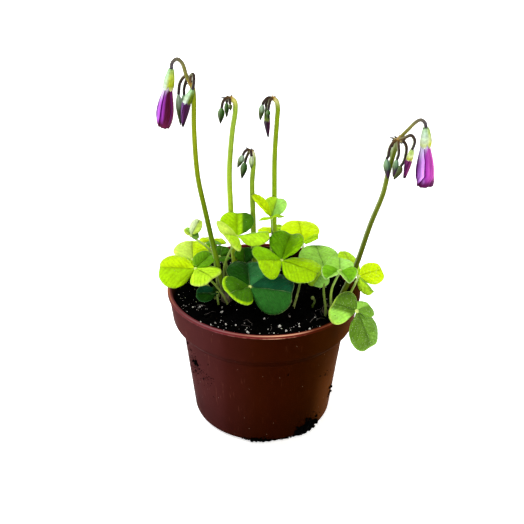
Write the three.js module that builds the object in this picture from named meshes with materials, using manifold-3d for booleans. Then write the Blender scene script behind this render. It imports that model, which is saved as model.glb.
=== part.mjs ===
// Potted oxalis bowiei: a nursery pot of soil with small bulbs, clover leaves, and five
// bare flower stalks with nodding umbels of green buds and furled purple flowers.
// Millimetres and degrees, +Z up. The origin is the middle of the pot's base, and the
// plant's front faces -Y.

import * as THREE from "three";
import { mergeVertices } from "three/addons/utils/BufferGeometryUtils.js";
import Module from "manifold-3d";

const wasm = await Module();
wasm.setup();

// The smallest edge or step kept where solids are joined or cut
const FINEST = 0.01;

// Pot
const POT_HEIGHT = 68;
const RIM_RADIUS = 46.3;
const LIP_HEIGHT = 1.6;
const LIP_PROUD = 0.7;
const COLLAR_HEIGHT = 15;
const COLLAR_TAPER = 1.6;
const CHAMFER_HEIGHT = 5;
const BODY_TOP_RADIUS = 39.5;
const BASE_RADIUS = 34.5;
const BASE_ROUND = 1.5;
const WALL = 1.3;
const FLOOR = 2;
const POT_SIDES = 40;
const DRAINS = 8;
const DRAIN_RADIUS = 2.6;
const DRAIN_CIRCLE = 25;
const DRAIN_SIDES = 6;

// Soil
const GAP = 0.3;
const STEM_GAP = 0.36;
const PETAL_GAP = 0.42;
const SOIL_LEVEL = 63.5;
const SOIL_SIDES = 28;
const SOIL_RINGS = [0.82, 0.56, 0.28];
const SOIL_RELIEF = 0.7;

// Bulbs
const BULB_RADIUS = 6;
const CROWN_RADIUS = 4.5;
const CROWN_HEIGHT = 52;
const BULB_BOTTOM = 36;
const BULB_SHOULDER = 4;
const BULB_BELLY = 6;
const CROWN_SPREAD = 0.6;
const STEM_SEAT = 0.6;
const BULB_SIDES = 8;

// Leaves
const BLADE = 0.75;
const WEDGE = 58;
const NOTCH = 0.09;
const NOTCH_WIDTH = 0.17;
const OUTLINE_TURN = 87;
const ROUNDNESS = 0.42;
const BLADE_ACROSS = 8;
const SMALL_ACROSS = 6;
const SMALL_LENGTH = 10.5;
const BLADE_ALONG = 2;
const WAVE = 0.35;
const WAVE_TURN = 400;
const PETIOLE_RADIUS = 0.6;
const PETIOLE_SIDES = 5;
const PETIOLE_STEPS = 5;
const KNUCKLE_RADIUS = 0.95;

// Flower stalks
const SCAPE_RADIUS = 0.95;
const SCAPE_TAPER = 0.25;
const SCAPE_SIDES = 6;
const SCAPE_STEPS = 12;
const PEDICEL_RADIUS = 0.45;
const PEDICEL_SIDES = 4;
const PEDICEL_STEPS = 4;
const UMBEL_RADIUS = 1.2;
const BRACT_TURNS = [30, 150, 270];
const BRACT_LENGTH = 2.4;
const BRACT_ROOT = 0.7;
const BRACT_POINT = 0.2;
const PETALS = 5;
const BUD_BLUNT = 0.3;
const BUD_RIBS = 0.08;
const BUD_STEPS = 4;

// Furled flowers: the share of the calyx under the petals' root, the petals' width at
// the root, the share of their length at their widest, and each petal's lap and turn
const SEAT = 0.45;
const PETAL_ROOT = 0.36;
const PETAL_WIDEST = 0.62;
const PETAL_SWELL = 1.6;
const LAP = 0.14;
const LAP_TURN = 1.2;
const PETAL_POINT = 0.8;
const OPEN_WIDTH = 6;
const OPEN_NECK = 0.31;
const CLOSED_NECK = 0.55;
const CALYX_ROOT = 0.45;
const CALYX_RIBS = 0.06;
const SEPAL_POINT = 0.9;

const COLOURS = {
  pot: 0x5a2a20,
  soil: 0x17110e,
  bulb: 0x8a6a45,
  lime: 0x9ccc1c,
  green: 0x6aa52c,
  shade: 0x1f5230,
  scape: 0x7f9a2c,
  corolla: 0x8c2c84,
};

// Where each bulb lies, and where its shoot leaves the soil
const BULBS = [
  { at: [-17, -6], shoot: [-18.5, -7] },
  { at: [-14, 9], shoot: [-14, 9] },
  { at: [0, 16], shoot: [0, 16] },
  { at: [9, -9], shoot: [10.5, -10] },
  { at: [26, -14], shoot: [30.5, -16.5] },
];

// Each leaf has its bulb, the foot of its petiole at the soil, the hub that its leaflets
// join at, and how far the petiole bows out halfway. A leaflet is heading, rise, roll,
// length, width, fold (a valley is positive, a roof is negative) and droop.
const LEAVES = [
  {
    bulb: 0, foot: [-17, -11.5], hub: [-32, -7.5, 80], bow: [2, -2, 2], tone: "lime",
    leaflets: [
      [179, 2, -35, 18, 19.5, -20, 0],
      [-44, 5, 5, 14.5, 16, -15, 2],
      [74, 12, 0, 13.5, 13, 20, 0],
    ],
  },
  {
    bulb: 0, foot: [-23, -6.5], hub: [-35, 9.5, 76], bow: [-1, 0, 2], tone: "lime",
    leaflets: [
      [95, 15, 0, 15, 18, -10, 1],
      [-150, -5, 0, 13, 14, -10, 1],
      [-30, -5, 0, 10, 11, 10, 0],
    ],
  },
  {
    bulb: 0, foot: [-21.5, -3.5], hub: [-36, 16, 86], bow: [3, 2, 6], tone: "green",
    leaflets: [
      [5, 52, 0, 8.5, 6, 30, 0],
      [60, 62, 0, 8.5, 6, 30, 0],
      [-50, 60, 0, 7.5, 6, 30, 0],
    ],
  },
  {
    bulb: 1, foot: [-17.5, 14.5], hub: [-27, 27.3, 78], bow: [1, 1, 3], tone: "lime",
    leaflets: [
      [140, 0, 0, 7, 8, -10, 0],
      [40, -15, 0, 9, 9, -10, 0],
      [-75, 10, 0, 8, 9, -10, 0],
    ],
  },
  {
    bulb: 0, foot: [-18, -2.5], hub: [-13, 3, 92], bow: [-3.5, -1, 0], tone: "lime",
    leaflets: [
      [92, 40, 0, 13.5, 17.5, 15, 0],
      [-135, 38, -20, 12.5, 17, 8, 0],
      [3, 10, 0, 16, 14, -35, 0],
    ],
  },
  {
    bulb: 3, foot: [6, -11], hub: [-6.5, -16, 75.5], bow: [-2, -2, 2], tone: "shade",
    leaflets: [
      [92, 15, 0, 18.5, 19, 10, 0],
      [-12, 0, 30, 21, 24, -15, 0],
      [-140, 5, -20, 13, 20, 5, 0],
    ],
  },
  {
    bulb: 2, foot: [3, 12.5], hub: [3, 6, 100.5], bow: [1, 3, 0], tone: "lime",
    leaflets: [
      [148, 40, 0, 15, 9.5, 30, 0],
      [75, 45, 0, 11.5, 13.5, 20, 0],
      [-90, 25, 10, 11, 13, 0, 0],
    ],
  },
  {
    bulb: 3, foot: [9.5, -5.5], hub: [8, -5.5, 84], bow: [1, 0, 0], tone: "lime",
    leaflets: [
      [-135, 12, -35, 17, 19, -10, 0],
      [-32, -8, 10, 19.5, 19.5, -8, 0],
      [72, 28, 0, 17.5, 19, 25, 0],
    ],
  },
  {
    bulb: 3, foot: [14, -13.5], hub: [19, 18.5, 82], bow: [2, 0, 3], tone: "lime",
    leaflets: [
      [96, 20, 0, 18.5, 21, -5, 1],
      [165, 5, 0, 10, 10, 0, 1],
      [-10, 30, 0, 9, 9, 0, 0],
    ],
  },
  {
    bulb: 4, foot: [28.5, -19.5], hub: [29, -1.5, 77], bow: [-1, -2, 2], tone: "green",
    leaflets: [
      [103, 18, 0, 19.5, 21, -5, 0],
      [-125, -25, 0, 10, 11, -10, 1],
      [30, -5, 0, 8, 8, 0, 0],
    ],
  },
  {
    bulb: 4, foot: [30.5, -21.5], hub: [34.5, -15, 84], bow: [-2, -3, 4], tone: "green",
    leaflets: [
      [-165, -5, 0, 9, 12, 30, 0],
      [-62, -8, 0, 10.5, 14, 45, 0],
      [85, 0, 0, 10.5, 11, -5, 0],
    ],
  },
  {
    bulb: 4, foot: [35, -16.5], hub: [45, -1.5, 74], bow: [1, -2, 3], tone: "lime",
    leaflets: [
      [118, 16, 0, 17, 13, -10, 0],
      [15, 5, 25, 12.8, 13.8, -5, 0],
      [-50, -22, 0, 11.5, 7, -40, 0],
    ],
  },
  {
    bulb: 4, foot: [32.5, -19.5], hub: [41, -32, 73], bow: [0, 0, 5], tone: "green",
    leaflets: [
      [152, 5, -28, 13.8, 19, -5, 0],
      [33, -8, 0, 9.5, 11, -10, 0],
      [-45, -60, 0, 19, 14, -5, 0],
    ],
  },
  {
    bulb: 0, foot: [-21.5, -10.5], hub: [-22, -9, 68], bow: [0, -1, 0], tone: "shade",
    leaflets: [
      [180, 0, -30, 10.5, 9, -5, 0],
      [110, 20, 0, 4.5, 4, 20, 0],
      [-120, 20, 0, 4.5, 4, 20, 0],
    ],
  },
  {
    bulb: 4, foot: [23, -12], hub: [23.5, -12, 67], bow: [0.5, 0, 2], tone: "green",
    leaflets: [],
  },
  {
    bulb: 1, foot: [-10, 9.5], hub: [-9.5, 9, 74.5], bow: [0, 0, 0], tone: "shade",
    leaflets: [
      [98, 58, 0, 8.5, 11, 20, 0],
      [-140, 15, 0, 7, 7, 5, 0],
      [-25, 5, 0, 7, 7, 5, 0],
    ],
  },
  {
    bulb: 1, foot: [-18, 9.5], hub: [-22, 12, 76.5], bow: [1, 0, 2], tone: "green",
    leaflets: [
      [80, 25, 0, 9, 9, -5, 0],
      [-45, 10, 0, 8, 8, -5, 0],
      [-165, 35, 0, 6, 6, 0, 0],
    ],
  },
  {
    bulb: 2, foot: [2, 20], hub: [5, 33, 82], bow: [0, 0, 3], tone: "lime",
    leaflets: [
      [175, 0, 0, 9, 9, -10, 0],
      [60, 0, 0, 8, 8, -10, 0],
      [-60, 5, 0, 7, 7, 0, 0],
    ],
  },
];

// Each flower stalk runs from its foot through these points to its umbel. A bud has the
// points of its pedicel after the umbel, the points of its own axis, its width, and for a
// coloured one the share of its length that the calyx takes and the width of its mouth.
const SCAPES = [
  {
    bulb: 0, foot: [-18.5, -7],
    stalk: [[-22, -4.5, 81], [-27, -5, 108], [-30, -5, 125], [-31, -5, 145], [-31, -5, 164]],
    umbel: [-32, -5, 166],
    buds: [
      {
        pedicel: [[-33.5, -5.5, 169.5], [-35, -6, 174.5], [-37, -6, 176], [-39, -6, 174.5]],
        axis: [[-39.5, -6, 172], [-42, -6, 160], [-44, -6, 147.5]],
        width: 7.4, calyx: 0.36, mouth: 0.7,
      },
      {
        pedicel: [[-31.5, -7, 169.5], [-30, -9, 170.5], [-30, -10, 168.5]],
        axis: [[-31, -10, 166.5], [-34.5, -10, 160], [-36, -10, 149.5]],
        width: 4, calyx: 0.38, mouth: 0.3,
      },
      {
        pedicel: [[-34, -4, 168.5], [-36.5, -2.5, 165.5]],
        axis: [[-37.5, -2, 160.5], [-37.5, -2, 150.5]],
        width: 2.4,
      },
      {
        pedicel: [[-33, -3, 168], [-34.5, -1, 163]],
        axis: [[-34.5, 0, 159], [-34, 0.5, 152]],
        width: 2.4,
      },
    ],
  },
  {
    bulb: 1, foot: [-14, 12.5],
    stalk: [[-15.5, 15, 82], [-16.5, 16, 100], [-17, 16, 120], [-15.5, 15.5, 139.5], [-14, 15, 150]],
    umbel: [-16.3, 15, 154.7],
    buds: [
      {
        pedicel: [[-17.7, 14.5, 155], [-19.4, 14, 153.5]],
        axis: [[-20.2, 14, 150.5], [-20.7, 14, 143.7]],
        width: 2.9,
      },
      {
        pedicel: [[-17.2, 16.5, 154], [-17.9, 17.5, 152]],
        axis: [[-18.1, 17.5, 151], [-18.1, 17.5, 145.5]],
        width: 2.2,
      },
      {
        pedicel: [[-16.7, 13, 154], [-17, 12, 152]],
        axis: [[-17, 11.7, 150.5], [-16.9, 11.5, 147]],
        width: 1.8,
      },
    ],
  },
  {
    bulb: 2, foot: [-4, 15.5],
    stalk: [[-5.2, 15, 80], [-5.7, 14.5, 97], [-6.3, 14, 115], [-5.7, 13.5, 124.5]],
    umbel: [-7, 13, 131],
    buds: [
      {
        pedicel: [[-8.6, 12.5, 131.3], [-10.6, 12, 130]],
        axis: [[-11.4, 12, 127], [-13, 12, 123]],
        width: 2.3,
      },
      {
        pedicel: [[-8, 14, 130], [-9.7, 15, 127]],
        axis: [[-10.2, 15, 124.7], [-11.2, 15, 117]],
        width: 2.9,
      },
      {
        pedicel: [[-7.4, 11, 130.5], [-7.8, 9.7, 128.5]],
        axis: [[-7.8, 9.5, 127.5], [-7.8, 9.3, 123]],
        width: 2.1,
      },
    ],
  },
  {
    bulb: 2, foot: [4.5, 16.5],
    stalk: [[4.6, 17, 82], [4.4, 17, 105], [4.1, 16, 128], [4.8, 15.5, 145], [5, 15, 151]],
    umbel: [2.7, 15, 155],
    buds: [
      {
        pedicel: [[0.5, 14.5, 155], [-1.6, 14, 153]],
        axis: [[-2.5, 14, 150.5], [-2.8, 14, 145]],
        width: 2.6,
      },
      {
        pedicel: [[1, 16, 154], [-0.3, 16.5, 152]],
        axis: [[0, 16.5, 150], [0.3, 16.5, 144], [0.9, 16.5, 136.5]],
        width: 2.5, calyx: 0.42, mouth: 0.25,
      },
      {
        pedicel: [[2, 13, 154.5], [1.5, 12, 152]],
        axis: [[1.5, 11.7, 150.5], [1.5, 11.5, 146.5]],
        width: 2,
      },
    ],
  },
  {
    bulb: 4, foot: [33.5, -13],
    stalk: [[38, -9.5, 72], [42.4, -6.5, 81.5], [48, -5, 103], [52.4, -5, 118], [53.7, -5, 127.5]],
    umbel: [56.6, -5, 143],
    buds: [
      {
        pedicel: [[61, -5, 148], [63.5, -5, 150.8], [65.5, -5, 151.8], [67.3, -5, 150.6]],
        axis: [[68, -5, 148.5], [69.3, -5, 135], [70.5, -5, 121.5]],
        width: 8.2, calyx: 0.34, mouth: 0.75,
      },
      {
        pedicel: [[59, -7, 144.5], [61.5, -8.5, 146], [63, -9, 144], [62.8, -9, 141.5]],
        axis: [[62.3, -9, 140], [61.3, -9, 134], [60.3, -9, 127]],
        width: 3, calyx: 0.38, mouth: 0.3,
      },
      {
        pedicel: [[58.5, -4, 142], [60, -3, 139.5], [59.8, -2.5, 135], [59, -2.5, 132]],
        axis: [[58.3, -2.5, 130], [56.5, -2.5, 124]],
        width: 2.8,
      },
      {
        pedicel: [[54.5, -6, 142], [53, -7, 139.5], [52.6, -8, 136]],
        axis: [[52.6, -8.3, 134.5], [54.2, -8.5, 126]],
        width: 2.6,
      },
      {
        pedicel: [[56.6, -7.5, 141], [56.8, -9, 138]],
        axis: [[56.3, -9.3, 135.5], [55.6, -9.5, 128.5]],
        width: 2.6,
      },
      {
        pedicel: [[55.8, -3, 142.5], [55.3, -1, 140]],
        axis: [[55.2, -0.8, 138.5], [55, -0.6, 133]],
        width: 2.2,
      },
    ],
  },
];

const radians = THREE.MathUtils.degToRad;

// A closed geometry as a solid: shared corners merged, flat triangles dropped, facing out
function solidOf(geometry) {
  const bare = geometry.index ? geometry.toNonIndexed() : geometry.clone();
  bare.deleteAttribute("normal");
  bare.deleteAttribute("uv");
  const merged = mergeVertices(bare, 1e-4);
  const places = merged.attributes.position;
  const corners = [0, 1, 2].map(() => new THREE.Vector3());
  const triangles = [];
  let volume = 0;
  for (let i = 0; i < merged.index.count; i += 3) {
    const ids = [0, 1, 2].map((k) => merged.index.getX(i + k));
    if (new Set(ids).size < 3) continue;
    ids.forEach((id, k) => corners[k].fromBufferAttribute(places, id));
    volume += corners[0].dot(corners[1].clone().cross(corners[2]));
    triangles.push(ids);
  }
  const outward = volume > 0 ? triangles : triangles.map(([a, b, c]) => [a, c, b]);
  return new wasm.Manifold(
    new wasm.Mesh({
      numProp: 3,
      vertProperties: new Float32Array(places.array),
      triVerts: new Uint32Array(outward.flat()),
    }),
  );
}

// The solid's triangles as a geometry for a mesh
function geometryOf(solid) {
  const { vertProperties, triVerts } = solid.simplify(FINEST).getMesh();
  const geometry = new THREE.BufferGeometry();
  geometry.setAttribute("position", new THREE.BufferAttribute(vertProperties, 3));
  geometry.setIndex(new THREE.BufferAttribute(triVerts, 1));
  geometry.computeVertexNormals();
  return geometry;
}

const joined = (solids) => solids.reduce((whole, next) => whole.add(next));

const vector = (place) => new THREE.Vector3(...place);

// A solid along a curve through points, of any radius by its length and angle
function swept(points, sides, steps, radiusAt, pushAt = () => 0) {
  const curve = new THREE.CatmullRomCurve3(points.map(vector));
  const { tangents, normals, binormals } = curve.computeFrenetFrames(steps);
  const shape = new THREE.CylinderGeometry(1, 1, 1, sides, steps);
  const places = shape.attributes.position;
  for (let i = 0; i < places.count; i++) {
    const step = Math.round((places.getY(i) + 0.5) * steps);
    const along = step / steps;
    const angle = Math.atan2(places.getZ(i), places.getX(i));
    const out = Math.hypot(places.getX(i), places.getZ(i)) * radiusAt(along, angle);
    const push = out > 0 ? pushAt(along, angle) : 0;
    const place = curve
      .getPointAt(along)
      .addScaledVector(binormals[step], out * Math.cos(angle))
      .addScaledVector(normals[step], out * Math.sin(angle))
      .addScaledVector(tangents[step], push);
    places.setXYZ(i, ...place);
  }
  return solidOf(shape);
}

// A stretch of the curve through points, as five points of its own
function stretch(points, from, to) {
  const curve = new THREE.CatmullRomCurve3(points.map(vector));
  const shares = [0, 0.25, 0.5, 0.75, 1].map((k) => from + (to - from) * k);
  return shares.map((share) => curve.getPointAt(share).toArray());
}

// A thin closed sheet whose two faces are split into triangles alike
function sheet(across, along, upperAt, lowerAt) {
  const faces = [upperAt, lowerAt].map((pointAt) =>
    Array.from({ length: across + 1 }, (_, i) =>
      Array.from({ length: along + 1 }, (_, j) => pointAt(i / across, j / along)),
    ),
  );
  const places = [];
  const quad = (a, b, c, d) => places.push(...a, ...b, ...c, ...a, ...c, ...d);
  const [top, under] = faces;
  for (let i = 0; i < across; i++) {
    for (let j = 0; j < along; j++) {
      quad(top[i][j], top[i][j + 1], top[i + 1][j + 1], top[i + 1][j]);
      places.push(...under[i][j], ...under[i + 1][j + 1], ...under[i][j + 1]);
      places.push(...under[i][j], ...under[i + 1][j], ...under[i + 1][j + 1]);
    }
    quad(top[i + 1][0], under[i + 1][0], under[i][0], top[i][0]);
    quad(top[i][along], under[i][along], under[i + 1][along], top[i + 1][along]);
  }
  for (let j = 0; j < along; j++) {
    quad(top[0][j], under[0][j], under[0][j + 1], top[0][j + 1]);
    quad(top[across][j + 1], under[across][j + 1], under[across][j], top[across][j]);
  }
  const geometry = new THREE.BufferGeometry();
  geometry.setAttribute("position", new THREE.Float32BufferAttribute(places, 3));
  return solidOf(geometry);
}

// One heart-shaped leaflet, from the hub outwards
function leaflet(hub, [heading, rise, roll, length, width, fold, droop]) {
  const [turn, lift, tilt, bend] = [heading, rise, roll, fold].map(radians);
  const ahead = new THREE.Vector3(
    Math.cos(turn) * Math.cos(lift),
    Math.sin(turn) * Math.cos(lift),
    Math.sin(lift),
  );
  const level = new THREE.Vector3(-Math.sin(turn), Math.cos(turn), 0);
  const up = ahead.clone().cross(level);
  const side = level.clone().multiplyScalar(Math.cos(tilt)).addScaledVector(up, Math.sin(tilt));
  const normal = ahead.clone().cross(side);
  const half = BLADE / Math.cos(bend) / 2;

  const faceAt = (offset) => (u, v) => {
    const share = 2 * u - 1;
    const angle = radians(WEDGE * share);
    const notch = 1 - NOTCH * Math.exp(-((share / NOTCH_WIDTH) ** 2));
    const reach = length * Math.cos(radians(OUTLINE_TURN) * share) ** ROUNDNESS * notch;
    const out = reach * v;
    const forward = out * Math.cos(angle);
    const aside = (out * Math.sin(angle) * width) / length;
    const rest = (forward / length) ** 2;
    const height =
      Math.abs(aside) * Math.sin(bend) -
      droop * rest +
      WAVE * rest * Math.sin(radians(WAVE_TURN) * share);
    return vector(hub)
      .addScaledVector(ahead, forward)
      .addScaledVector(side, aside * Math.cos(bend))
      .addScaledVector(normal, height + offset)
      .toArray();
  };
  const across = length < SMALL_LENGTH ? SMALL_ACROSS : BLADE_ACROSS;
  return sheet(across, BLADE_ALONG, faceAt(half), faceAt(-half));
}

// From the bulb's crown through the soil to the foot at its surface
function buried({ bulb, foot }) {
  const { at, shoot } = BULBS[bulb];
  const crown = at.map((place, k) => place + CROWN_SPREAD * (foot[k] - shoot[k]));
  return [
    [...crown, CROWN_HEIGHT + STEM_SEAT],
    [...foot, SOIL_LEVEL],
  ];
}

function petiolePath(leaf) {
  const rooted = buried(leaf);
  const foot = rooted[1];
  const middle = foot.map((place, k) => (place + leaf.hub[k]) / 2 + leaf.bow[k]);
  return [...rooted, middle, leaf.hub];
}

function leafSolid(leaf) {
  const petiole = swept(petiolePath(leaf), PETIOLE_SIDES, PETIOLE_STEPS, () => PETIOLE_RADIUS);
  const knuckle = solidOf(
    new THREE.SphereGeometry(KNUCKLE_RADIUS, 5, 3).translate(...leaf.hub),
  );
  return joined([petiole, knuckle, ...leaf.leaflets.map((one) => leaflet(leaf.hub, one))]);
}

const scapePath = (scape) => [...buried(scape), ...scape.stalk, scape.umbel];

const scapeRadius = (along) => SCAPE_RADIUS * (1 - SCAPE_TAPER * along);

// A green bud: a spindle with five low ribs
function budSolid({ axis, width }) {
  const radiusAt = (along, angle) => {
    const belly = Math.sin(Math.PI * (0.12 + 0.8 * along)) ** 0.8;
    const rib = 1 + BUD_RIBS * Math.cos(PETALS * angle);
    return (width / 2) * (BUD_BLUNT + (1 - BUD_BLUNT) * belly) * rib;
  };
  return swept(axis, 2 * PETALS, BUD_STEPS, radiusAt);
}

const isOpen = ({ width }) => width > OPEN_WIDTH;

// The swell of the furled petals from the calyx to the mouth
function corollaRadius({ width, mouth }, along) {
  const opened = Math.sin(Math.min(along / PETAL_WIDEST, 1) * (Math.PI / 2)) ** PETAL_SWELL;
  const swell = PETAL_ROOT + (1 - PETAL_ROOT) * opened;
  const past = Math.max(along - PETAL_WIDEST, 0) / (1 - PETAL_WIDEST);
  return (width / 2) * swell * (1 - (1 - mouth) * past ** 2);
}

// The furled petals of a coloured bud, each lapping over the next
function corollaSolid(bud) {
  const [sides, steps] = isOpen(bud) ? [4 * PETALS, 8] : [2 * PETALS, 5];
  const radiusAt = (along, angle) => {
    const turn = (PETALS * (angle / (2 * Math.PI) + 1) + LAP_TURN * along) % 1;
    return corollaRadius(bud, along) * (1 - LAP + LAP * turn);
  };
  const pushAt = (along, angle) =>
    along === 1 && isOpen(bud) ? PETAL_POINT * Math.cos(PETALS * angle) : 0;
  return swept(stretch(bud.axis, bud.calyx * SEAT, 1), sides, steps, radiusAt, pushAt);
}

// The room that the petals take in the calyx
function corollaRoom(bud) {
  const seat = bud.calyx * SEAT;
  const [from, to] = [seat - 0.02, bud.calyx + 0.12];
  const radiusAt = (along) => {
    const share = (from + (to - from) * along - seat) / (1 - seat);
    return corollaRadius(bud, Math.max(share, 0)) + PETAL_GAP;
  };
  return swept(stretch(bud.axis, from, to), 8, 3, radiusAt);
}

// The calyx: a cup with five pointed sepals, hollow where the petals stand in it
function calyxSolid(bud) {
  const { axis, width, calyx } = bud;
  const neck = (isOpen(bud) ? OPEN_NECK : CLOSED_NECK) * width;
  const radiusAt = (along, angle) => {
    const widened = CALYX_ROOT + (1 - CALYX_ROOT) * Math.min(2 * along, 1);
    return neck * widened * (1 + CALYX_RIBS * Math.cos(PETALS * angle));
  };
  const pushAt = (along, angle) =>
    along > 0.5 ? along * SEPAL_POINT * Math.cos(PETALS * angle) : 0;
  const cup = swept(stretch(axis, 0, calyx), 2 * PETALS, 3, radiusAt, pushAt);
  return cup.subtract(corollaRoom(bud));
}

function scapeSolid(scape) {
  const { umbel } = scape;
  const stalk = swept(scapePath(scape), SCAPE_SIDES, SCAPE_STEPS, scapeRadius);
  const head = solidOf(new THREE.SphereGeometry(UMBEL_RADIUS, 5, 4).translate(...umbel));
  const bracts = BRACT_TURNS.map((turn) => {
    const out = [Math.cos(radians(turn)), Math.sin(radians(turn)), 0.5];
    const tip = umbel.map((place, k) => place + BRACT_LENGTH * out[k]);
    const radiusAt = (along) => BRACT_ROOT + (BRACT_POINT - BRACT_ROOT) * along;
    return swept([umbel, tip], 3, 1, radiusAt);
  });
  const pedicels = scape.buds.map(({ pedicel, axis }) =>
    swept([umbel, ...pedicel, axis[0]], PEDICEL_SIDES, PEDICEL_STEPS, () => PEDICEL_RADIUS),
  );
  const buds = scape.buds.map((bud) => (bud.calyx ? calyxSolid(bud) : budSolid(bud)));
  return joined([stalk, head, ...bracts, ...pedicels, ...buds]);
}

function latheSolid(profile, sides) {
  const points = profile.map(([radius, height]) => new THREE.Vector2(radius, height));
  return solidOf(new THREE.LatheGeometry(points, sides).rotateX(Math.PI / 2));
}

// The pot's inside, shared by the wall and the soil
const collarBottom = POT_HEIGHT - COLLAR_HEIGHT;
const bodyTop = collarBottom - CHAMFER_HEIGHT;
const collarRadius = RIM_RADIUS - LIP_PROUD - COLLAR_TAPER;
const inside = (margin) => [
  [BASE_RADIUS - WALL - margin, FLOOR + margin],
  [BODY_TOP_RADIUS - WALL - margin, bodyTop],
  [collarRadius - WALL - margin, collarBottom],
];

function potSolid() {
  const body = latheSolid(
    [
      [0, 0],
      [BASE_RADIUS - BASE_ROUND, 0],
      [BASE_RADIUS, BASE_ROUND],
      [BODY_TOP_RADIUS, bodyTop],
      [collarRadius, collarBottom],
      [RIM_RADIUS - LIP_PROUD, POT_HEIGHT - LIP_HEIGHT],
      [RIM_RADIUS, POT_HEIGHT - LIP_HEIGHT],
      [RIM_RADIUS, POT_HEIGHT],
      [RIM_RADIUS - LIP_PROUD - WALL, POT_HEIGHT],
      ...inside(0).reverse(),
      [0, FLOOR],
    ],
    POT_SIDES,
  );
  const drains = Array.from({ length: DRAINS }, (_, k) => {
    const turn = radians(((k + 0.5) * 360) / DRAINS);
    const drain = new THREE.CylinderGeometry(DRAIN_RADIUS, DRAIN_RADIUS, 3 * FLOOR, DRAIN_SIDES);
    drain.rotateX(Math.PI / 2);
    drain.translate(DRAIN_CIRCLE * Math.cos(turn), DRAIN_CIRCLE * Math.sin(turn), 0);
    return solidOf(drain);
  });
  return body.subtract(joined(drains));
}

const soilRelief = (x, y) =>
  SOIL_RELIEF * (Math.sin(0.31 * x + 1.2) * Math.cos(0.27 * y) + 0.6 * Math.sin(0.7 * x - 0.5 * y));

const bulbProfile = (margin) => [
  [0, BULB_BOTTOM - margin],
  [BULB_RADIUS * 0.6 + margin, BULB_BOTTOM + 1 - margin],
  [BULB_RADIUS + margin, BULB_BOTTOM + BULB_BELLY],
  [BULB_RADIUS * 0.9 + margin, CROWN_HEIGHT - BULB_SHOULDER],
  [CROWN_RADIUS + margin, CROWN_HEIGHT + 3 * margin],
  [0, CROWN_HEIGHT + 3 * margin],
];

const bulbSolid = ({ at }, margin = 0) =>
  latheSolid(bulbProfile(margin), BULB_SIDES).translate([...at, 0]);

function soilSolid() {
  const edge = collarRadius - WALL - GAP;
  const profile = [[0, FLOOR + GAP], ...inside(GAP), [edge, SOIL_LEVEL]];
  SOIL_RINGS.forEach((share) => profile.push([edge * share, SOIL_LEVEL]));
  profile.push([0, SOIL_LEVEL]);
  const points = profile.map(([radius, height]) => new THREE.Vector2(radius, height));
  const shape = new THREE.LatheGeometry(points, SOIL_SIDES).rotateX(Math.PI / 2);
  const places = shape.attributes.position;
  for (let i = 0; i < places.count; i++) {
    const [x, y, z] = [places.getX(i), places.getY(i), places.getZ(i)];
    if (z > SOIL_LEVEL - 0.01) places.setZ(i, z + soilRelief(x, y));
  }
  const petioles = LEAVES.map((leaf) =>
    swept(petiolePath(leaf), PETIOLE_SIDES, PETIOLE_STEPS, () => PETIOLE_RADIUS + STEM_GAP),
  );
  const stalks = SCAPES.map((scape) =>
    swept(scapePath(scape), SCAPE_SIDES, SCAPE_STEPS, (along) => scapeRadius(along) + STEM_GAP),
  );
  const bulbs = BULBS.map((bulb) => bulbSolid(bulb, GAP));
  return solidOf(shape).subtract(joined([...petioles, ...stalks, ...bulbs]));
}

const group = new THREE.Group();

function add(name, solid, colour, roughness) {
  const material = new THREE.MeshStandardMaterial({ color: colour, roughness, metalness: 0 });
  const mesh = new THREE.Mesh(geometryOf(solid), material);
  mesh.name = name;
  group.add(mesh);
}

add("pot", potSolid(), COLOURS.pot, 0.45);
add("soil", soilSolid(), COLOURS.soil, 0.95);
BULBS.forEach((bulb, k) => add(`bulb_${k + 1}`, bulbSolid(bulb), COLOURS.bulb, 0.8));
LEAVES.forEach((leaf, k) => {
  const number = String(k + 1).padStart(2, "0");
  add(`leaf_${number}`, leafSolid(leaf), COLOURS[leaf.tone], 0.5);
});
SCAPES.forEach((scape, k) => {
  add(`scape_${k + 1}`, scapeSolid(scape), COLOURS.scape, 0.55);
  scape.buds.forEach((bud, place) => {
    if (!bud.calyx) return;
    add(`corolla_${k + 1}_${place + 1}`, corollaSolid(bud), COLOURS.corolla, 0.6);
  });
});

export default group;
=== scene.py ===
from math import cos, exp, hypot, pi, radians, sin, sqrt
from random import Random

import bmesh
import bpy
from mathutils import Color, Matrix, Vector, geometry, noise
from numpy import interp


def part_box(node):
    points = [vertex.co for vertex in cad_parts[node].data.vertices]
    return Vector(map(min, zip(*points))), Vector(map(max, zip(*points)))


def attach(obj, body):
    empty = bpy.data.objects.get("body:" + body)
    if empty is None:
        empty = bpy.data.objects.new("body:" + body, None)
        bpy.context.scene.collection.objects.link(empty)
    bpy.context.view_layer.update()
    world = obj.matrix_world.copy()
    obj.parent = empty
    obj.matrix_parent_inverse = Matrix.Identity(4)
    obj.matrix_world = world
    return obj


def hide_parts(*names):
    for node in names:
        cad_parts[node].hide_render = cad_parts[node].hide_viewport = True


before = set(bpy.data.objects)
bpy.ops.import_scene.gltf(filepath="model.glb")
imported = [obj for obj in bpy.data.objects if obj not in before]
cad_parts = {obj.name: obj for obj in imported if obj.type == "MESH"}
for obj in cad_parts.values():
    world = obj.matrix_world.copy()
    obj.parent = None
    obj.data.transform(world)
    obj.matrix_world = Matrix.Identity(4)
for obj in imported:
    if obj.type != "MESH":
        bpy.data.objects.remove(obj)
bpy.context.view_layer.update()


# The pot is one thin injection moulding of brown polypropylene. Its collar stands out over
# a chamfer so that empty pots nest, its lip is a small rolled edge, and drain holes go
# through the floor. The plastic is satin, dusty and scuffed at the left, with a painted mauve
# sheen on the left, painted warm light on the right, painted shade on faces turned down and
# painted highlights along the lip.
MM = 0.001
pot_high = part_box("pot")[1]
POT_HEIGHT = pot_high.z / MM
RIM_RADIUS = pot_high.x / MM
LIP_HEIGHT = 1.6
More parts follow.
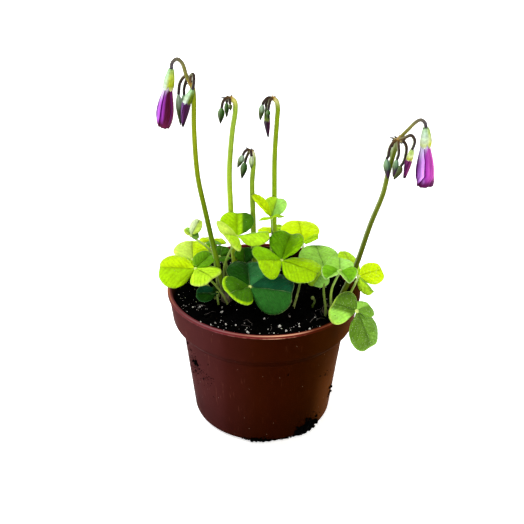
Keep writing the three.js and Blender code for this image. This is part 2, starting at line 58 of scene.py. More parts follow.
LIP_PROUD = 0.7
WALL = 1.3
FLOOR = 2
COLLAR_BOTTOM = POT_HEIGHT - 15
BODY_TOP = COLLAR_BOTTOM - 5
COLLAR_RADIUS = RIM_RADIUS - LIP_PROUD - 1.6
BODY_RADIUS = 39.5
BASE_RADIUS = 34.5
BASE_ROUND = 1.5
POT_SIDES = 160
WALL_STEP = 2.4
DRAINS = 8
DRAIN_RADIUS = 2.6
DRAIN_CIRCLE = 25

# The wall from the middle of the base, up the outside, over the lip and down the inside,
# as radius, height and the size of the round there
POT_PROFILE = [
    (0, 0, 0),
    (BASE_RADIUS - BASE_ROUND, 0, 0.5),
    (BASE_RADIUS, BASE_ROUND, 0.9),
    (BODY_RADIUS, BODY_TOP, 0.8),
    (COLLAR_RADIUS, COLLAR_BOTTOM, 1.1),
    (RIM_RADIUS - LIP_PROUD, POT_HEIGHT - LIP_HEIGHT, 0.25),
    (RIM_RADIUS, POT_HEIGHT - LIP_HEIGHT, 0.25),
    (RIM_RADIUS, POT_HEIGHT, 0.6),
    (RIM_RADIUS - LIP_PROUD - WALL, POT_HEIGHT, 0.5),
    (COLLAR_RADIUS - WALL, COLLAR_BOTTOM, 0.9),
    (BODY_RADIUS - WALL, BODY_TOP, 0.9),
    (BASE_RADIUS - WALL, FLOOR, 0.6),
    (0, FLOOR, 0),
]


def paint(code):
    """The colour of an sRGB hex code, in linear light"""
    shades = [(code >> shift & 255) / 255 for shift in (16, 8, 0)]
    return Vector(Color(shades).from_srgb_to_scene_linear()[:])


def tone(code):
    return (*paint(code), 1)


def node(tree, kind, inputs=(), **settings):
    """A shader node with its settings made and its inputs set or linked"""
    made = tree.nodes.new("ShaderNode" + kind)
    for name, value in settings.items():
        setattr(made, name, value)
    for name, value in dict(inputs).items():
        if isinstance(value, bpy.types.NodeSocket):
            tree.links.new(value, made.inputs[name])
        else:
            made.inputs[name].default_value = value
    return made


def maths(tree, operation, *values):
    return node(tree, "Math", dict(enumerate(values)), operation=operation).outputs[0]


def ramped(tree, value, start, end, low=0, high=1):
    """The value eased from low to high between start and end"""
    inputs = {0: value, 1: start, 2: end, 3: low, 4: high}
    return node(tree, "MapRange", inputs, interpolation_type="SMOOTHSTEP").outputs[0]


def mixed(tree, share, first, second):
    inputs = {0: share, 6: first, 7: second}
    return node(tree, "Mix", inputs, data_type="RGBA").outputs[2]


def laid(tree, base, colour, mask, strength):
    """A colour over the base where the mask is, in that strength"""
    return mixed(tree, maths(tree, "MULTIPLY", mask, strength), base, colour)


def banded(tree, value, stops):
    """The colour at a value from 0 to 1, through stops of a place and an sRGB code"""
    made = node(tree, "ValToRGB", {0: value})
    elements = made.color_ramp.elements
    while len(elements) < len(stops):
        elements.new(0.5)
    for element, (place, code) in zip(elements, stops):
        element.position = place
        element.color = tone(code)
    return made.outputs[0]


def scaled(tree, colour, share):
    inputs = {0: colour, "Scale": share}
    return node(tree, "VectorMath", inputs, operation="SCALE").outputs[0]


def noised(tree, place, scale, detail=3, roughness=0.55):
    inputs = {"Vector": place, "Scale": scale, "Detail": detail, "Roughness": roughness}
    return node(tree, "TexNoise", inputs).outputs["Fac"]


def stretched(tree, place, scale):
    return node(tree, "Mapping", {"Vector": place, "Scale": scale}).outputs[0]


def object_place(tree):
    return node(tree, "TexCoord").outputs["Object"]


def apart(tree, vector):
    return node(tree, "SeparateXYZ", {0: vector}).outputs


def facing(tree):
    """Which way the surface faces, as X, Y and Z"""
    return apart(tree, node(tree, "NewGeometry").outputs["Normal"])


def attribute(tree, name, kind="Color"):
    return node(tree, "Attribute", attribute_name=name).outputs[kind]


def effect(name, inputs, outputs):
    """An empty node group with its named sockets, and the ends inside it"""
    group = bpy.data.node_groups.new(name, "ShaderNodeTree")
    for way, sockets in (("INPUT", inputs), ("OUTPUT", outputs)):
        for label, kind in sockets.items():
            group.interface.new_socket(label, in_out=way, socket_type="NodeSocket" + kind)
    given = group.nodes.new("NodeGroupInput").outputs
    results = group.nodes.new("NodeGroupOutput").inputs
    return group, given, results


def placed(tree, group, *values):
    """The outputs of a shared effect, its inputs given in the group's order"""
    return node(tree, "Group", dict(enumerate(values)), node_tree=group).outputs


# Cloudy light and dark over a colour
mottle, given, results = effect(
    "mottle", dict(Colour="Color", Scale="Float", Amount="Float"), dict(Colour="Color"))
cloud = noised(mottle, object_place(mottle), given["Scale"], 4)
swing = maths(mottle, "MULTIPLY_ADD", cloud, 2, -1)
lift = maths(mottle, "MULTIPLY_ADD", swing, given["Amount"], 1)
mottle.links.new(scaled(mottle, given["Colour"], lift), results["Colour"])

# Scattered specks, a mask
speck, given, results = effect(
    "specks", dict(Scale="Float", Size="Float", Share="Float"), dict(Mask="Float"))
cells = node(speck, "TexVoronoi", {"Vector": object_place(speck), "Scale": given["Scale"]})
dot = maths(speck, "LESS_THAN", cells.outputs["Distance"], given["Size"])
parts = node(speck, "SeparateColor", {0: cells.outputs["Color"]})
chosen = maths(speck, "LESS_THAN", parts.outputs[0], given["Share"])
speck.links.new(maths(speck, "MULTIPLY", dot, chosen), results["Mask"])

# Fine relief of a moulded or living skin, a height
grain, given, results = effect(
    "grain", dict(Scale="Float", Coarse="Float"), dict(Height="Float"))
here = object_place(grain)
fine = noised(grain, here, given["Scale"], 2)
broad = noised(grain, here, maths(grain, "MULTIPLY", given["Scale"], 0.16))
height = maths(grain, "MULTIPLY_ADD", broad, given["Coarse"], fine)
grain.links.new(height, results["Height"])


def material(name, roughness=0.5, specular=0.5):
    """A new material, its node tree and its Principled shader"""
    made = bpy.data.materials.new(name)
    made.use_nodes = True
    shader = made.node_tree.nodes["Principled BSDF"]
    shader.inputs["Roughness"].default_value = roughness
    shader.inputs["Specular IOR Level"].default_value = specular
    return made, made.node_tree, shader.inputs


def dressed(tree, shader, colour, height=None, depth=0):
    """Gives a shader its colour, and a relief of that depth"""
    tree.links.new(colour, shader["Base Color"])
    if height is not None:
        bump = node(tree, "Bump", {"Height": height, "Distance": depth, "Strength": 1})
        tree.links.new(bump.outputs[0], shader["Normal"])


def standing(name, data):
    """A new object in the scene"""
    made = bpy.data.objects.new(name, data)
    bpy.context.scene.collection.objects.link(made)
    return made


def solid(bm, name):
    """An object made of the bmesh, its millimetres turned to metres"""
    bmesh.ops.scale(bm, vec=(MM, MM, MM), verts=bm.verts)
    mesh = bpy.data.meshes.new(name)
    bm.to_mesh(mesh)
    bm.free()
    return standing(name, mesh)


def finished(bm, name, skin, slot, *nodes):
    """The smooth piece made of the bmesh, in its skin, in place of the nodes"""
    bmesh.ops.recalc_face_normals(bm, faces=bm.faces)
    for face in bm.faces:
        face.smooth = True
    piece = solid(bm, name)
    piece.data.materials.append(skin)
    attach(piece, "root")
    if nodes:
        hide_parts(*nodes)
    return piece


def polar(radius, turn):
    return radius * cos(turn), radius * sin(turn)


def finely(points, step):
    """The points with none further from the last than about a step"""
    fine = [Vector(points[0])]
    for start, end in zip(points, points[1:]):
        start, end = Vector(start), Vector(end)
        count = max(1, round((end - start).length / step))
        fine += [start.lerp(end, k / count) for k in range(1, count + 1)]
    return fine


def spun(profile, sides):
    """The profile of radii and heights turned once round the upright axis"""
    bm = bmesh.new()
    places = [bm.verts.new((radius, 0, height)) for radius, height in profile]
    edges = [bm.edges.new(pair) for pair in zip(places, places[1:])]
    bmesh.ops.spin(bm, geom=places + edges, cent=(0, 0, 0), axis=(0, 0, 1), angle=2 * pi,
                   steps=sides, use_merge=True)
    bmesh.ops.remove_doubles(bm, verts=bm.verts, dist=1e-4)
    bmesh.ops.recalc_face_normals(bm, faces=bm.faces)
    return bm


def rounded(bm, radius, height, size):
    """Rounds the ring of edges at that radius and height"""
    def on_ring(vert):
        return abs(vert.co.z - height) < 1e-3 and abs(hypot(*vert.co.xy) - radius) < 1e-3

    ring = [edge for edge in bm.edges if all(on_ring(vert) for vert in edge.verts)]
    bmesh.ops.bevel(bm, geom=ring, offset=size, segments=4, profile=0.5, affect="EDGES",
                    clamp_overlap=True)


bm = spun(finely([point[:2] for point in POT_PROFILE], WALL_STEP), POT_SIDES)
for radius, height, size in POT_PROFILE:
    if size:
        rounded(bm, radius, height, size)

plastic, tree, shader = material("pot_plastic", roughness=0.42, specular=0.001)
# Browns from -RIM_RADIUS to RIM_RADIUS with the light painted in: a painted mauve sheen on the left,
# dark in the middle, and painted warm light on the right, more of it low down
BROWNS_WITH_PAINTED_LIGHT = [
    (0, 0x4C2524), (0.18, 0x442020), (0.28, 0x3E1A18), (0.33, 0x34120D), (0.47, 0x290B02),
    (0.56, 0x240801), (0.7, 0x220900), (0.85, 0x2C1200), (0.94, 0x482200), (1, 0x5E3204),
]
LIP_HIGHLIGHT_PINKS = [
    (0, 0x9A5A44), (0.08, 0x683C3C), (0.28, 0x805458), (0.4, 0x905A4C), (0.58, 0xD8A080),
    (0.66, 0xC88C70), (0.74, 0x6E3826), (1, 0x4C2612),
]
LIP_REDS = [(0, 0x5C2E30), (0.3, 0x64262A), (0.6, 0x5C1A16), (0.75, 0x3A1206), (1, 0x3A1C08)]
WORN = tone(0xC98468)
PAINTED_WARM_LIGHT = tone(0x522C10)
DUST = tone(0x9B8878)
here = object_place(tree)
across = apart(tree, here)
ends = {0: across["X"], 1: -RIM_RADIUS * MM, 2: RIM_RADIUS * MM}
share = node(tree, "MapRange", ends).outputs[0]
base = placed(tree, mottle, banded(tree, share, BROWNS_WITH_PAINTED_LIGHT), 90, 0.12)[0]
scuffs = noised(tree, stretched(tree, here, (900, 900, 60)), 1)
faded = ramped(tree, across["X"], -0.03, 0, 0.12, 0.02)
base = laid(tree, base, WORN, ramped(tree, scuffs, 0.62, 0.78), faded)
# Darker towards the foot, and painted shade on faces turned down
base = scaled(tree, base, ramped(tree, across["Z"], 0.002, 0.03, 0.72, 1))
base = scaled(tree, base, ramped(tree, facing(tree)["Z"], -0.6, -0.05, 0.7, 1))
# Painted warm light on faces turned right, strongest low down
base = laid(tree, base, PAINTED_WARM_LIGHT, ramped(tree, facing(tree)["X"], 0.6, 0.97),
            ramped(tree, across["Z"], 0.022, 0.045, 1, 0.3))
lip = ramped(tree, across["Z"], (POT_HEIGHT - 1.15) * MM, (POT_HEIGHT - 0.95) * MM)
base = mixed(tree, lip, base, banded(tree, share, LIP_REDS))
# Painted highlights on the lip: a broken pink glint line just under its top, on the left and in the
# middle
glint_breaks = ramped(tree, noised(tree, here, 420), 0.35, 0.65, 0, 0.8)
under = maths(tree, "ABSOLUTE", maths(tree, "SUBTRACT", across["Z"], (POT_HEIGHT - 1) * MM))
under = maths(tree, "MULTIPLY", ramped(tree, under, 0.0001, 0.00025, 1, 0), glint_breaks)
lip_highlight = banded(tree, share, LIP_HIGHLIGHT_PINKS)
base = laid(tree, base, lip_highlight, under, ramped(tree, across["X"], 0.008, 0.022, 0.8, 0))
# Painted highlight along the outer edge of the lip's top
top = ramped(tree, across["Z"], (POT_HEIGHT - 0.2) * MM, (POT_HEIGHT - 0.05) * MM)
reach = node(tree, "VectorMath", {0: stretched(tree, here, (1, 1, 0))}, operation="LENGTH")
outer = ramped(tree, reach.outputs["Value"], (RIM_RADIUS - 1.3) * MM, (RIM_RADIUS - 0.9) * MM)
base = laid(tree, base, lip_highlight, top, outer)
dust = placed(tree, speck, 1300, 0.2, 0.006)[0]
base = laid(tree, base, DUST, dust, 0.6)
dressed(tree, shader, base, placed(tree, grain, 2600, 1.5)[0], 0.00004)
sheen = ramped(tree, noised(tree, here, 160), 0.3, 0.7, 0.36, 0.5)
tree.links.new(sheen, shader["Roughness"])

cutters = bmesh.new()
for k in range(DRAINS):
    middle = Vector((*polar(DRAIN_CIRCLE, (k + 0.5) * 2 * pi / DRAINS), FLOOR / 2))
    bmesh.ops.create_cone(cutters, cap_ends=True, segments=24, radius1=DRAIN_RADIUS,
                          radius2=DRAIN_RADIUS, depth=3 * FLOOR,
                          matrix=Matrix.Translation(middle))
drill = solid(cutters, "drain_drill")

pot = finished(bm, "pot_wall", plastic, "pot", "pot")
cut = pot.modifiers.new("drains", "BOOLEAN")
cut.object = drill
cut.operation = "DIFFERENCE"
cut.solver = "EXACT"
drilled = pot.evaluated_get(bpy.context.evaluated_depsgraph_get())
pot_mesh = bpy.data.meshes.new_from_object(drilled)
pot.modifiers.remove(cut)
pot.data = pot_mesh
bpy.data.objects.remove(drill)


# The potting mix fills the pot to a few millimetres under the lip: nearly black peat and
# bark in fine crumbs, loose on top, pressed against the wall below.
GAP = 0.3
SOIL_LEVEL = 63.5
SOIL_RADIUS = COLLAR_RADIUS - WALL - GAP
SOIL_RELIEF = 0.7
SOIL_SIDES = 220
SOIL_STEP = 0.5
LUMPS = 0.75
random = Random(7)


def sheet(bm, across, along, put):
    """A grid of faces, each corner placed by put(corner, u, v), with corners that meet
    merged; the corners that are left are returned"""
    made = bmesh.ops.create_grid(bm, x_segments=across, y_segments=along, size=1)["verts"]
    for corner in made:
        put(corner, (corner.co.x + 1) / 2, (corner.co.y + 1) / 2)
    bmesh.ops.remove_doubles(bm, verts=made, dist=1e-4)
    return [corner for corner in made if corner.is_valid]


def thin_sheet(bm, across, along, thickness, put):
    """A closed sheet with fine edges: its grid goes over it and back under, each corner
    placed by put(corner, share, v, offset), with share from -1 to 1 across"""
    def put_around(corner, u, v):
        over = u < 0.5
        share = 4 * u - 1 if over else 3 - 4 * u
        half = thickness / 2 * (1 - share ** 8) * (1 - (2 * v - 1) ** 16)
        put(corner, share, v, half if over else -half)

    sheet(bm, 2 * across, along, put_around)


def soil_height(x, y):
    """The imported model's low relief with crumbly lumps on it"""
    relief = sin(0.31 * x + 1.2) * cos(0.27 * y) + 0.6 * sin(0.7 * x - 0.5 * y)
    lumps = noise.turbulence(Vector((x, y, 0)) * 0.45, 4, True)
    return SOIL_LEVEL + SOIL_RELIEF * relief + LUMPS * (lumps - 0.55)


soil_profile = finely([(0, FLOOR + GAP), (BASE_RADIUS - WALL - GAP, FLOOR + GAP),
                       (BODY_RADIUS - WALL - GAP, BODY_TOP),
                       (COLLAR_RADIUS - WALL - GAP, COLLAR_BOTTOM),
                       (SOIL_RADIUS, SOIL_LEVEL - 1)], 4)
soil_top = finely([(SOIL_RADIUS, SOIL_LEVEL), (0, SOIL_LEVEL)], SOIL_STEP)
soil_rows = soil_profile + soil_top


def put_soil(corner, u, v):
    row = round(v * (len(soil_rows) - 1))
    radius, height = soil_rows[row]
    x, y = polar(radius, 2 * pi * u)
    if row >= len(soil_profile):
        height = soil_height(x, y)
    corner.co = (x, y, height)


peat, tree, shader = material("potting_mix", roughness=0.95, specular=0.008)
base = placed(tree, mottle, tone(0x030303), 500, 0.7)[0]
bark = placed(tree, speck, 700, 0.3, 0.12)[0]
base = laid(tree, base, tone(0x20170F), bark, 0.5)
dressed(tree, shader, base, placed(tree, grain, 3200, 1.5)[0], 0.0004)

bm = bmesh.new()
sheet(bm, SOIL_SIDES, len(soil_rows) - 1, put_soil)
finished(bm, "soil_bed", peat, "soil", "soil")


# Loose crumbs of the same mix lie all over the bed, thickest along the wall.
CRUMBS = 1500


def crumb(bm, place, size, roughness=0.35):
    """A small broken lump around a place"""
    turn = Matrix.Rotation(random.uniform(0, 2 * pi), 4,
                           Vector([random.uniform(-1, 1) for _ in range(3)]))
    spread = Matrix.Diagonal((size, size * random.uniform(0.6, 1), size * random.uniform(0.45, 0.9), 1))
    corners = bmesh.ops.create_icosphere(bm, subdivisions=1, radius=1,
                                         matrix=Matrix.Translation(place) @ turn @ spread)
    for corner in corners["verts"]:
        corner.co = place + (corner.co - place) * (1 + random.uniform(-roughness, roughness))


def strewn(bm, count, clear, crowding, small, large, lift, roughness=0.35):
    """Lumps all over the bed, clear of the wall, that crowd towards it, mostly small ones"""
    for _ in range(count):
        radius = (SOIL_RADIUS - clear) * random.random() ** crowding
        x, y = polar(radius, random.uniform(0, 2 * pi))
        size = small + (large - small) * random.random() ** 3
        crumb(bm, Vector((x, y, soil_height(x, y) + size * lift)), size, roughness)


bm = bmesh.new()
strewn(bm, CRUMBS, clear=0.8, crowding=0.5, small=0.25, large=1, lift=0.3)
finished(bm, "soil_crumbs", peat, "soil")


# Perlite grains and a few pale roots and bark fibres show among the crumbs at the front.
PERLITE = [
    (-36.3, -14.4, 0.5), (-33, -15.2, 0.45), (-29.7, -15.1, 0.6), (-19.4, -20.2, 0.85),
    (-23.6, -29.5, 0.5), (-21.7, -28.1, 0.4), (-16.9, -29.7, 0.5), (-12.5, -31.3, 0.45),
    (-6.8, -37.3, 0.8), (0.2, -25, 0.6), (2, -31.7, 0.4), (7.1, -31.6, 0.75),
    (9.9, -35.6, 0.7), (16, -28.4, 0.5), (15.9, -31.4, 0.6), (17.5, -35.4, 0.5),
    (20.8, -31.2, 0.6), (-19.6, -13, 0.5), (12.1, -21.2, 0.5), (-31.8, -14.6, 0.4),
    (-30.6, -15.8, 0.3), (-28.9, -14.6, 0.35), (-31, -16.8, 0.3), (8, -32.6, 0.4),
    (12, -34.8, 0.3), (13.6, -30.6, 0.3), (4.6, -35.8, 0.35), (-1.6, -35.4, 0.3), (3.4, -28.6, 0.3),
]
LOOSE_PERLITE = 240
FIBRES = [
    (21, -27, 60, 7, 0.2), (24, -25, 35, 5, 0.16), (12, -22, 100, 4, 0.15),
    (-27, -20, 20, 5, 0.15), (-10, -30, -15, 4, 0.14), (3, -33, 75, 3.5, 0.14),
    (-32, -14, 5, 5, 0.18), (27, -20, 120, 5, 0.15), (-5, -28, 150, 5, 0.15),
]

stone, tree, shader = material("perlite", roughness=0.85, specular=0.3)
base = placed(tree, mottle, tone(0xD9D6CE), 1500, 0.3)[0]
dressed(tree, shader, base, placed(tree, grain, 5000, 0.8)[0], 0.0002)

bm = bmesh.new()
for x, y, size in PERLITE:
    crumb(bm, Vector((x, y, soil_height(x, y) + size * 0.6)), size, 0.6)
strewn(bm, LOOSE_PERLITE, clear=1, crowding=0.3, small=0.1, large=0.4, lift=1, roughness=0.5)
finished(bm, "perlite_grains", stone, "soil")


def curve_through(points, steps, start=0, end=1):
    """Evenly spaced places on the centripetal curve through the points, between two
    shares of its length"""
    knots = [Vector(point) for point in points]
    knots = [2 * knots[0] - knots[1], *knots, 2 * knots[-1] - knots[-2]]
    path = [knots[1]]
    for before, here, there, after in zip(knots, knots[1:], knots[2:], knots[3:]):
        near, span, far = [sqrt((b - a).length) for a, b in
                           ((before, here), (here, there), (there, after))]
        leave = (here - before) / near - (there - before) / (near + span) + (there - here) / span
        reach = (there - here) / span - (after - here) / (span + far) + (after - there) / far
        path += geometry.interpolate_bezier(
            here, here + leave * span / 3, there - reach * span / 3, there, 17)[1:]
    marks = [0]
    for a, b in zip(path, path[1:]):
        marks.append(marks[-1] + (b - a).length)
    places = []
    k = 0
    for step in range(steps + 1):
        goal = marks[-1] * (start + (end - start) * step / steps)
        while k < len(path) - 2 and marks[k + 1] < goal:
            k += 1
        share = (goal - marks[k]) / (marks[k + 1] - marks[k])
        places.append(path[k].lerp(path[k + 1], share))
    return places


def frames(places, normal=None):
    """The direction and two sides at each place, turned no more than the path turns"""
    found = []
    for k, _ in enumerate(places):
        ahead = (places[min(k + 1, len(places) - 1)] - places[max(k - 1, 0)]).normalized()
        normal = normal or ahead.orthogonal()
        normal = (normal - ahead * normal.dot(ahead)).normalized()
        found.append((ahead, normal, ahead.cross(normal)))
    return found


def layer(bm, kind, name):
    """A named value kept at every corner, made where it isn't there yet"""
    layers = getattr(bm.verts.layers, kind)
    return layers.get(name) or layers.new(name)


def outwards(turns, angle):
    """The way out from a path, at an angle round it"""
    _, normal, side = turns
    return cos(angle) * normal + sin(angle) * side


def tube(bm, places, sides, radius_at, colours, normal=None):
    """A closed stem or bud along the places, in stops of colour or by its length and turn"""
    steps = len(places) - 1
    turns = frames(places, normal)
    tint = layer(bm, "float_color", "tint")

    def put(corner, u, v):
        row = round(v * (steps + 2)) - 1
        step = min(max(row, 0), steps)
        along, angle = step / steps, 2 * pi * u
        out = radius_at(along, angle) if row == step else 0
        corner.co = places[step] + out * outwards(turns[step], angle)
        shade = colours(along, angle) if callable(colours) else graded(colours, along)
        corner[tint] = (*shade, 1)

    sheet(bm, sides, steps + 2, put)


def clamped(value):
    return min(1, max(0, value))


def hues(*stops):
    """Stops of a share and an sRGB code, in linear light"""
    return [(share, paint(code)) for share, code in stops]


def graded(stops, share):
    """The colour at a share of the way through the stops"""
    for (start, first), (end, second) in zip(stops, stops[1:]):
        if share <= end:
            return first.lerp(second, max(0, share - start) / (end - start))
    return stops[-1][1]


ROOT_BROWN = paint(0x655E5A)
bm = bmesh.new()
for x, y, heading, length, radius in FIBRES:
    turn = radians(heading)
    points = []
    for k in range(4):
        bend = turn + 0.25 * sin(1.7 * k + x)
        px, py = x + cos(bend) * length * k / 3, y + sin(bend) * length * k / 3
        points.append((px, py, soil_height(px, py) + radius + 0.5 * sin(k)))
    tube(bm, curve_through(points, 12), 6, lambda along, _: 0.7 * radius * (1 - 0.6 * along),
         [(1, ROOT_BROWN)])

fibre, tree, shader = material("root_fibre", roughness=0.8, specular=0.3)
dressed(tree, shader, placed(tree, mottle, attribute(tree, "tint"), 800, 0.4)[0])
finished(bm, "soil_fibres", fibre, "soil")


# Potting mix that spilled over the rim has dried on the outside of the wall, and lumps of
# it cling to the foot. Each place is a turn round the wall, a height, and a size.
WALL_DIRT = [
    (-157, 44.6, 0.6, 3), (-152, 41.9, 0.35, 6), (-145, 37.3, 0.95, 8), (-147, 36.6, 0.7, 5),
    (-144, 35.8, 0.6, 5), (-153, 27.4, 0.35, 3), (-149, 31, 0.4, 5), (-145, 31, 0.3, 4),
    (-139, 30.4, 0.3, 4), (-129.5, 34.5, 0.55, 2), (-131, 41.2, 0.3, 2), (-135, 32.5, 0.25, 3),
    (-129, 22.3, 0.3, 2), (-71.5, 42.3, 0.45, 2), (-61, 40.8, 0.3, 1), (-35, 31, 0.4, 3),
    (-39, 33, 0.35, 2), (-44, 34.3, 0.4, 2), (-22, 18.5, 0.8, 6), (-22, 15.2, 0.9, 8),
    (-42, 7, 0.7, 8), (-46, 5.5, 1.1, 16), (-50, 5, 1.4, 20), (-55, 4, 1.4, 20),
    (-59, 3, 1.2, 18), (-46, 2.6, 1.4, 18), (-51, 2, 1.5, 20), (-56, 1.6, 1.2, 16),
    (-62, 1.4, 0.9, 14), (-94, 1.1, 1.1, 22), (-98, 1, 0.9, 18), (-90, 1.1, 1, 20),
    (-84, 0.9, 0.9, 18), (-103, 0.9, 0.6, 16), (-78, 0.8, 0.7, 16), (-70, 0.8, 0.7, 16),
]
DIRT_SPREAD = 1.5

# Where fine dust of it is scattered: a turn, a height, how far both spread, and how much
DUSTINGS = [
    (-150, 35, 5, 4, 150), (-135, 32, 6, 2.5, 40), (-50, 7, 6, 3, 90), (-92, 2, 12, 1, 70),
    (-37, 33, 4, 1.5, 14),
]
DUST_SIZES = (0.1, 0.3)


def clinging(bm, turn, height, proud, size):
    """A crumb stuck to the outside of the wall"""
    radii, heights, _ = zip(*POT_PROFILE[1:6])
    out = interp(height, heights, radii) + proud
    crumb(bm, Vector((*polar(out, turn), height)), size)


bm = bmesh.new()
for turn, height, size, count in WALL_DIRT:
    for _ in range(count):
        grown = size * random.uniform(0.35, 1)
        up = max(grown * 1.3, height + random.gauss(0, 0.7) * DIRT_SPREAD * size)
        round_by = radians(turn) + random.gauss(0, 0.8) * DIRT_SPREAD * size / BASE_RADIUS
        clinging(bm, round_by, up, grown * 0.35, grown)
for turn, height, spread, rise, count in DUSTINGS:
    for _ in range(count):
        up = max(0.3, height + random.gauss(0, rise))
        round_by = radians(turn + random.gauss(0, spread))
        clinging(bm, round_by, up, 0.03, random.uniform(*DUST_SIZES))
finished(bm, "wall_dirt", peat, "soil")


# The bulbs are small and egg-shaped, each wrapped in dry brown papery scales. They sit in
# the mix, and every leaf and stalk rises from a bulb's crown. Each bulb has its middle, the
# place where its shoots leave the mix, and how far its papery neck stands out of it.
BULBS = [
    ((-17, -6), (-18.5, -7), 10),
    ((-14, 9), (-14, 9), 5),
    ((0, 16), (0, 16), 5),
    ((9, -9), (10.5, -10), 3),
    ((26, -14), (30.5, -16.5), 3),
]
BULB_RADIUS = 6
CROWN_RADIUS = 4.5
CROWN_HEIGHT = 52
BULB_BOTTOM = 36
SCALE_RIDGES = 11
SCALE_DEPTH = 0.05
NECK_RADIUS = 2.4

papery, tree, shader = material("papery_scale", roughness=0.7, specular=0.35)
here = object_place(tree)
base = placed(tree, mottle, tone(0x7A6E58), 260, 0.45)[0]
fibres = noised(tree, stretched(tree, here, (1900, 1900, 160)), 1)
base = mixed(tree, ramped(tree, fibres, 0.4, 0.6, 0, 0.85), base, tone(0x2E251C))
dressed(tree, shader, base, fibres, 0.0002)


def scaly(along, angle):
    belly = sin(pi * (0.1 + 0.72 * along)) ** 0.7
    plump = CROWN_RADIUS + (BULB_RADIUS - CROWN_RADIUS) * belly
    ridged = 1 - SCALE_DEPTH + SCALE_DEPTH * cos(SCALE_RIDGES * angle)
    return plump * min(1, 0.45 + 3 * along) * ridged


for k, (middle, shoot, neck) in enumerate(BULBS):
    bm = bmesh.new()
    axis = [(*middle, BULB_BOTTOM), (*middle, CROWN_HEIGHT)]
    tube(bm, finely(axis, 1), 66, scaly, [(1, ROOT_BROWN)])
    crown = Vector((*middle, CROWN_HEIGHT - 2))
    top = Vector((*shoot, SOIL_LEVEL + neck))

    def put_neck(corner, share, v, offset):
        torn = 1 - 0.5 * abs(noise.noise(Vector((4 * share, 5 * k, 0))))
        angle = 0.93 * pi * share + 2 * k
        crinkle = 0.3 * noise.noise(Vector((6 * share, 2 * v, k)))
        out = NECK_RADIUS * (1 + 0.2 * v * v + crinkle) + offset
        corner.co = crown.lerp(top, v * torn) + out * Vector((*polar(1, angle), 0))

    thin_sheet(bm, 40, 14, 0.15, put_neck)
    finished(bm, f"bulb_{k + 1}_scales", papery, "bulb", f"bulb_{k + 1}")
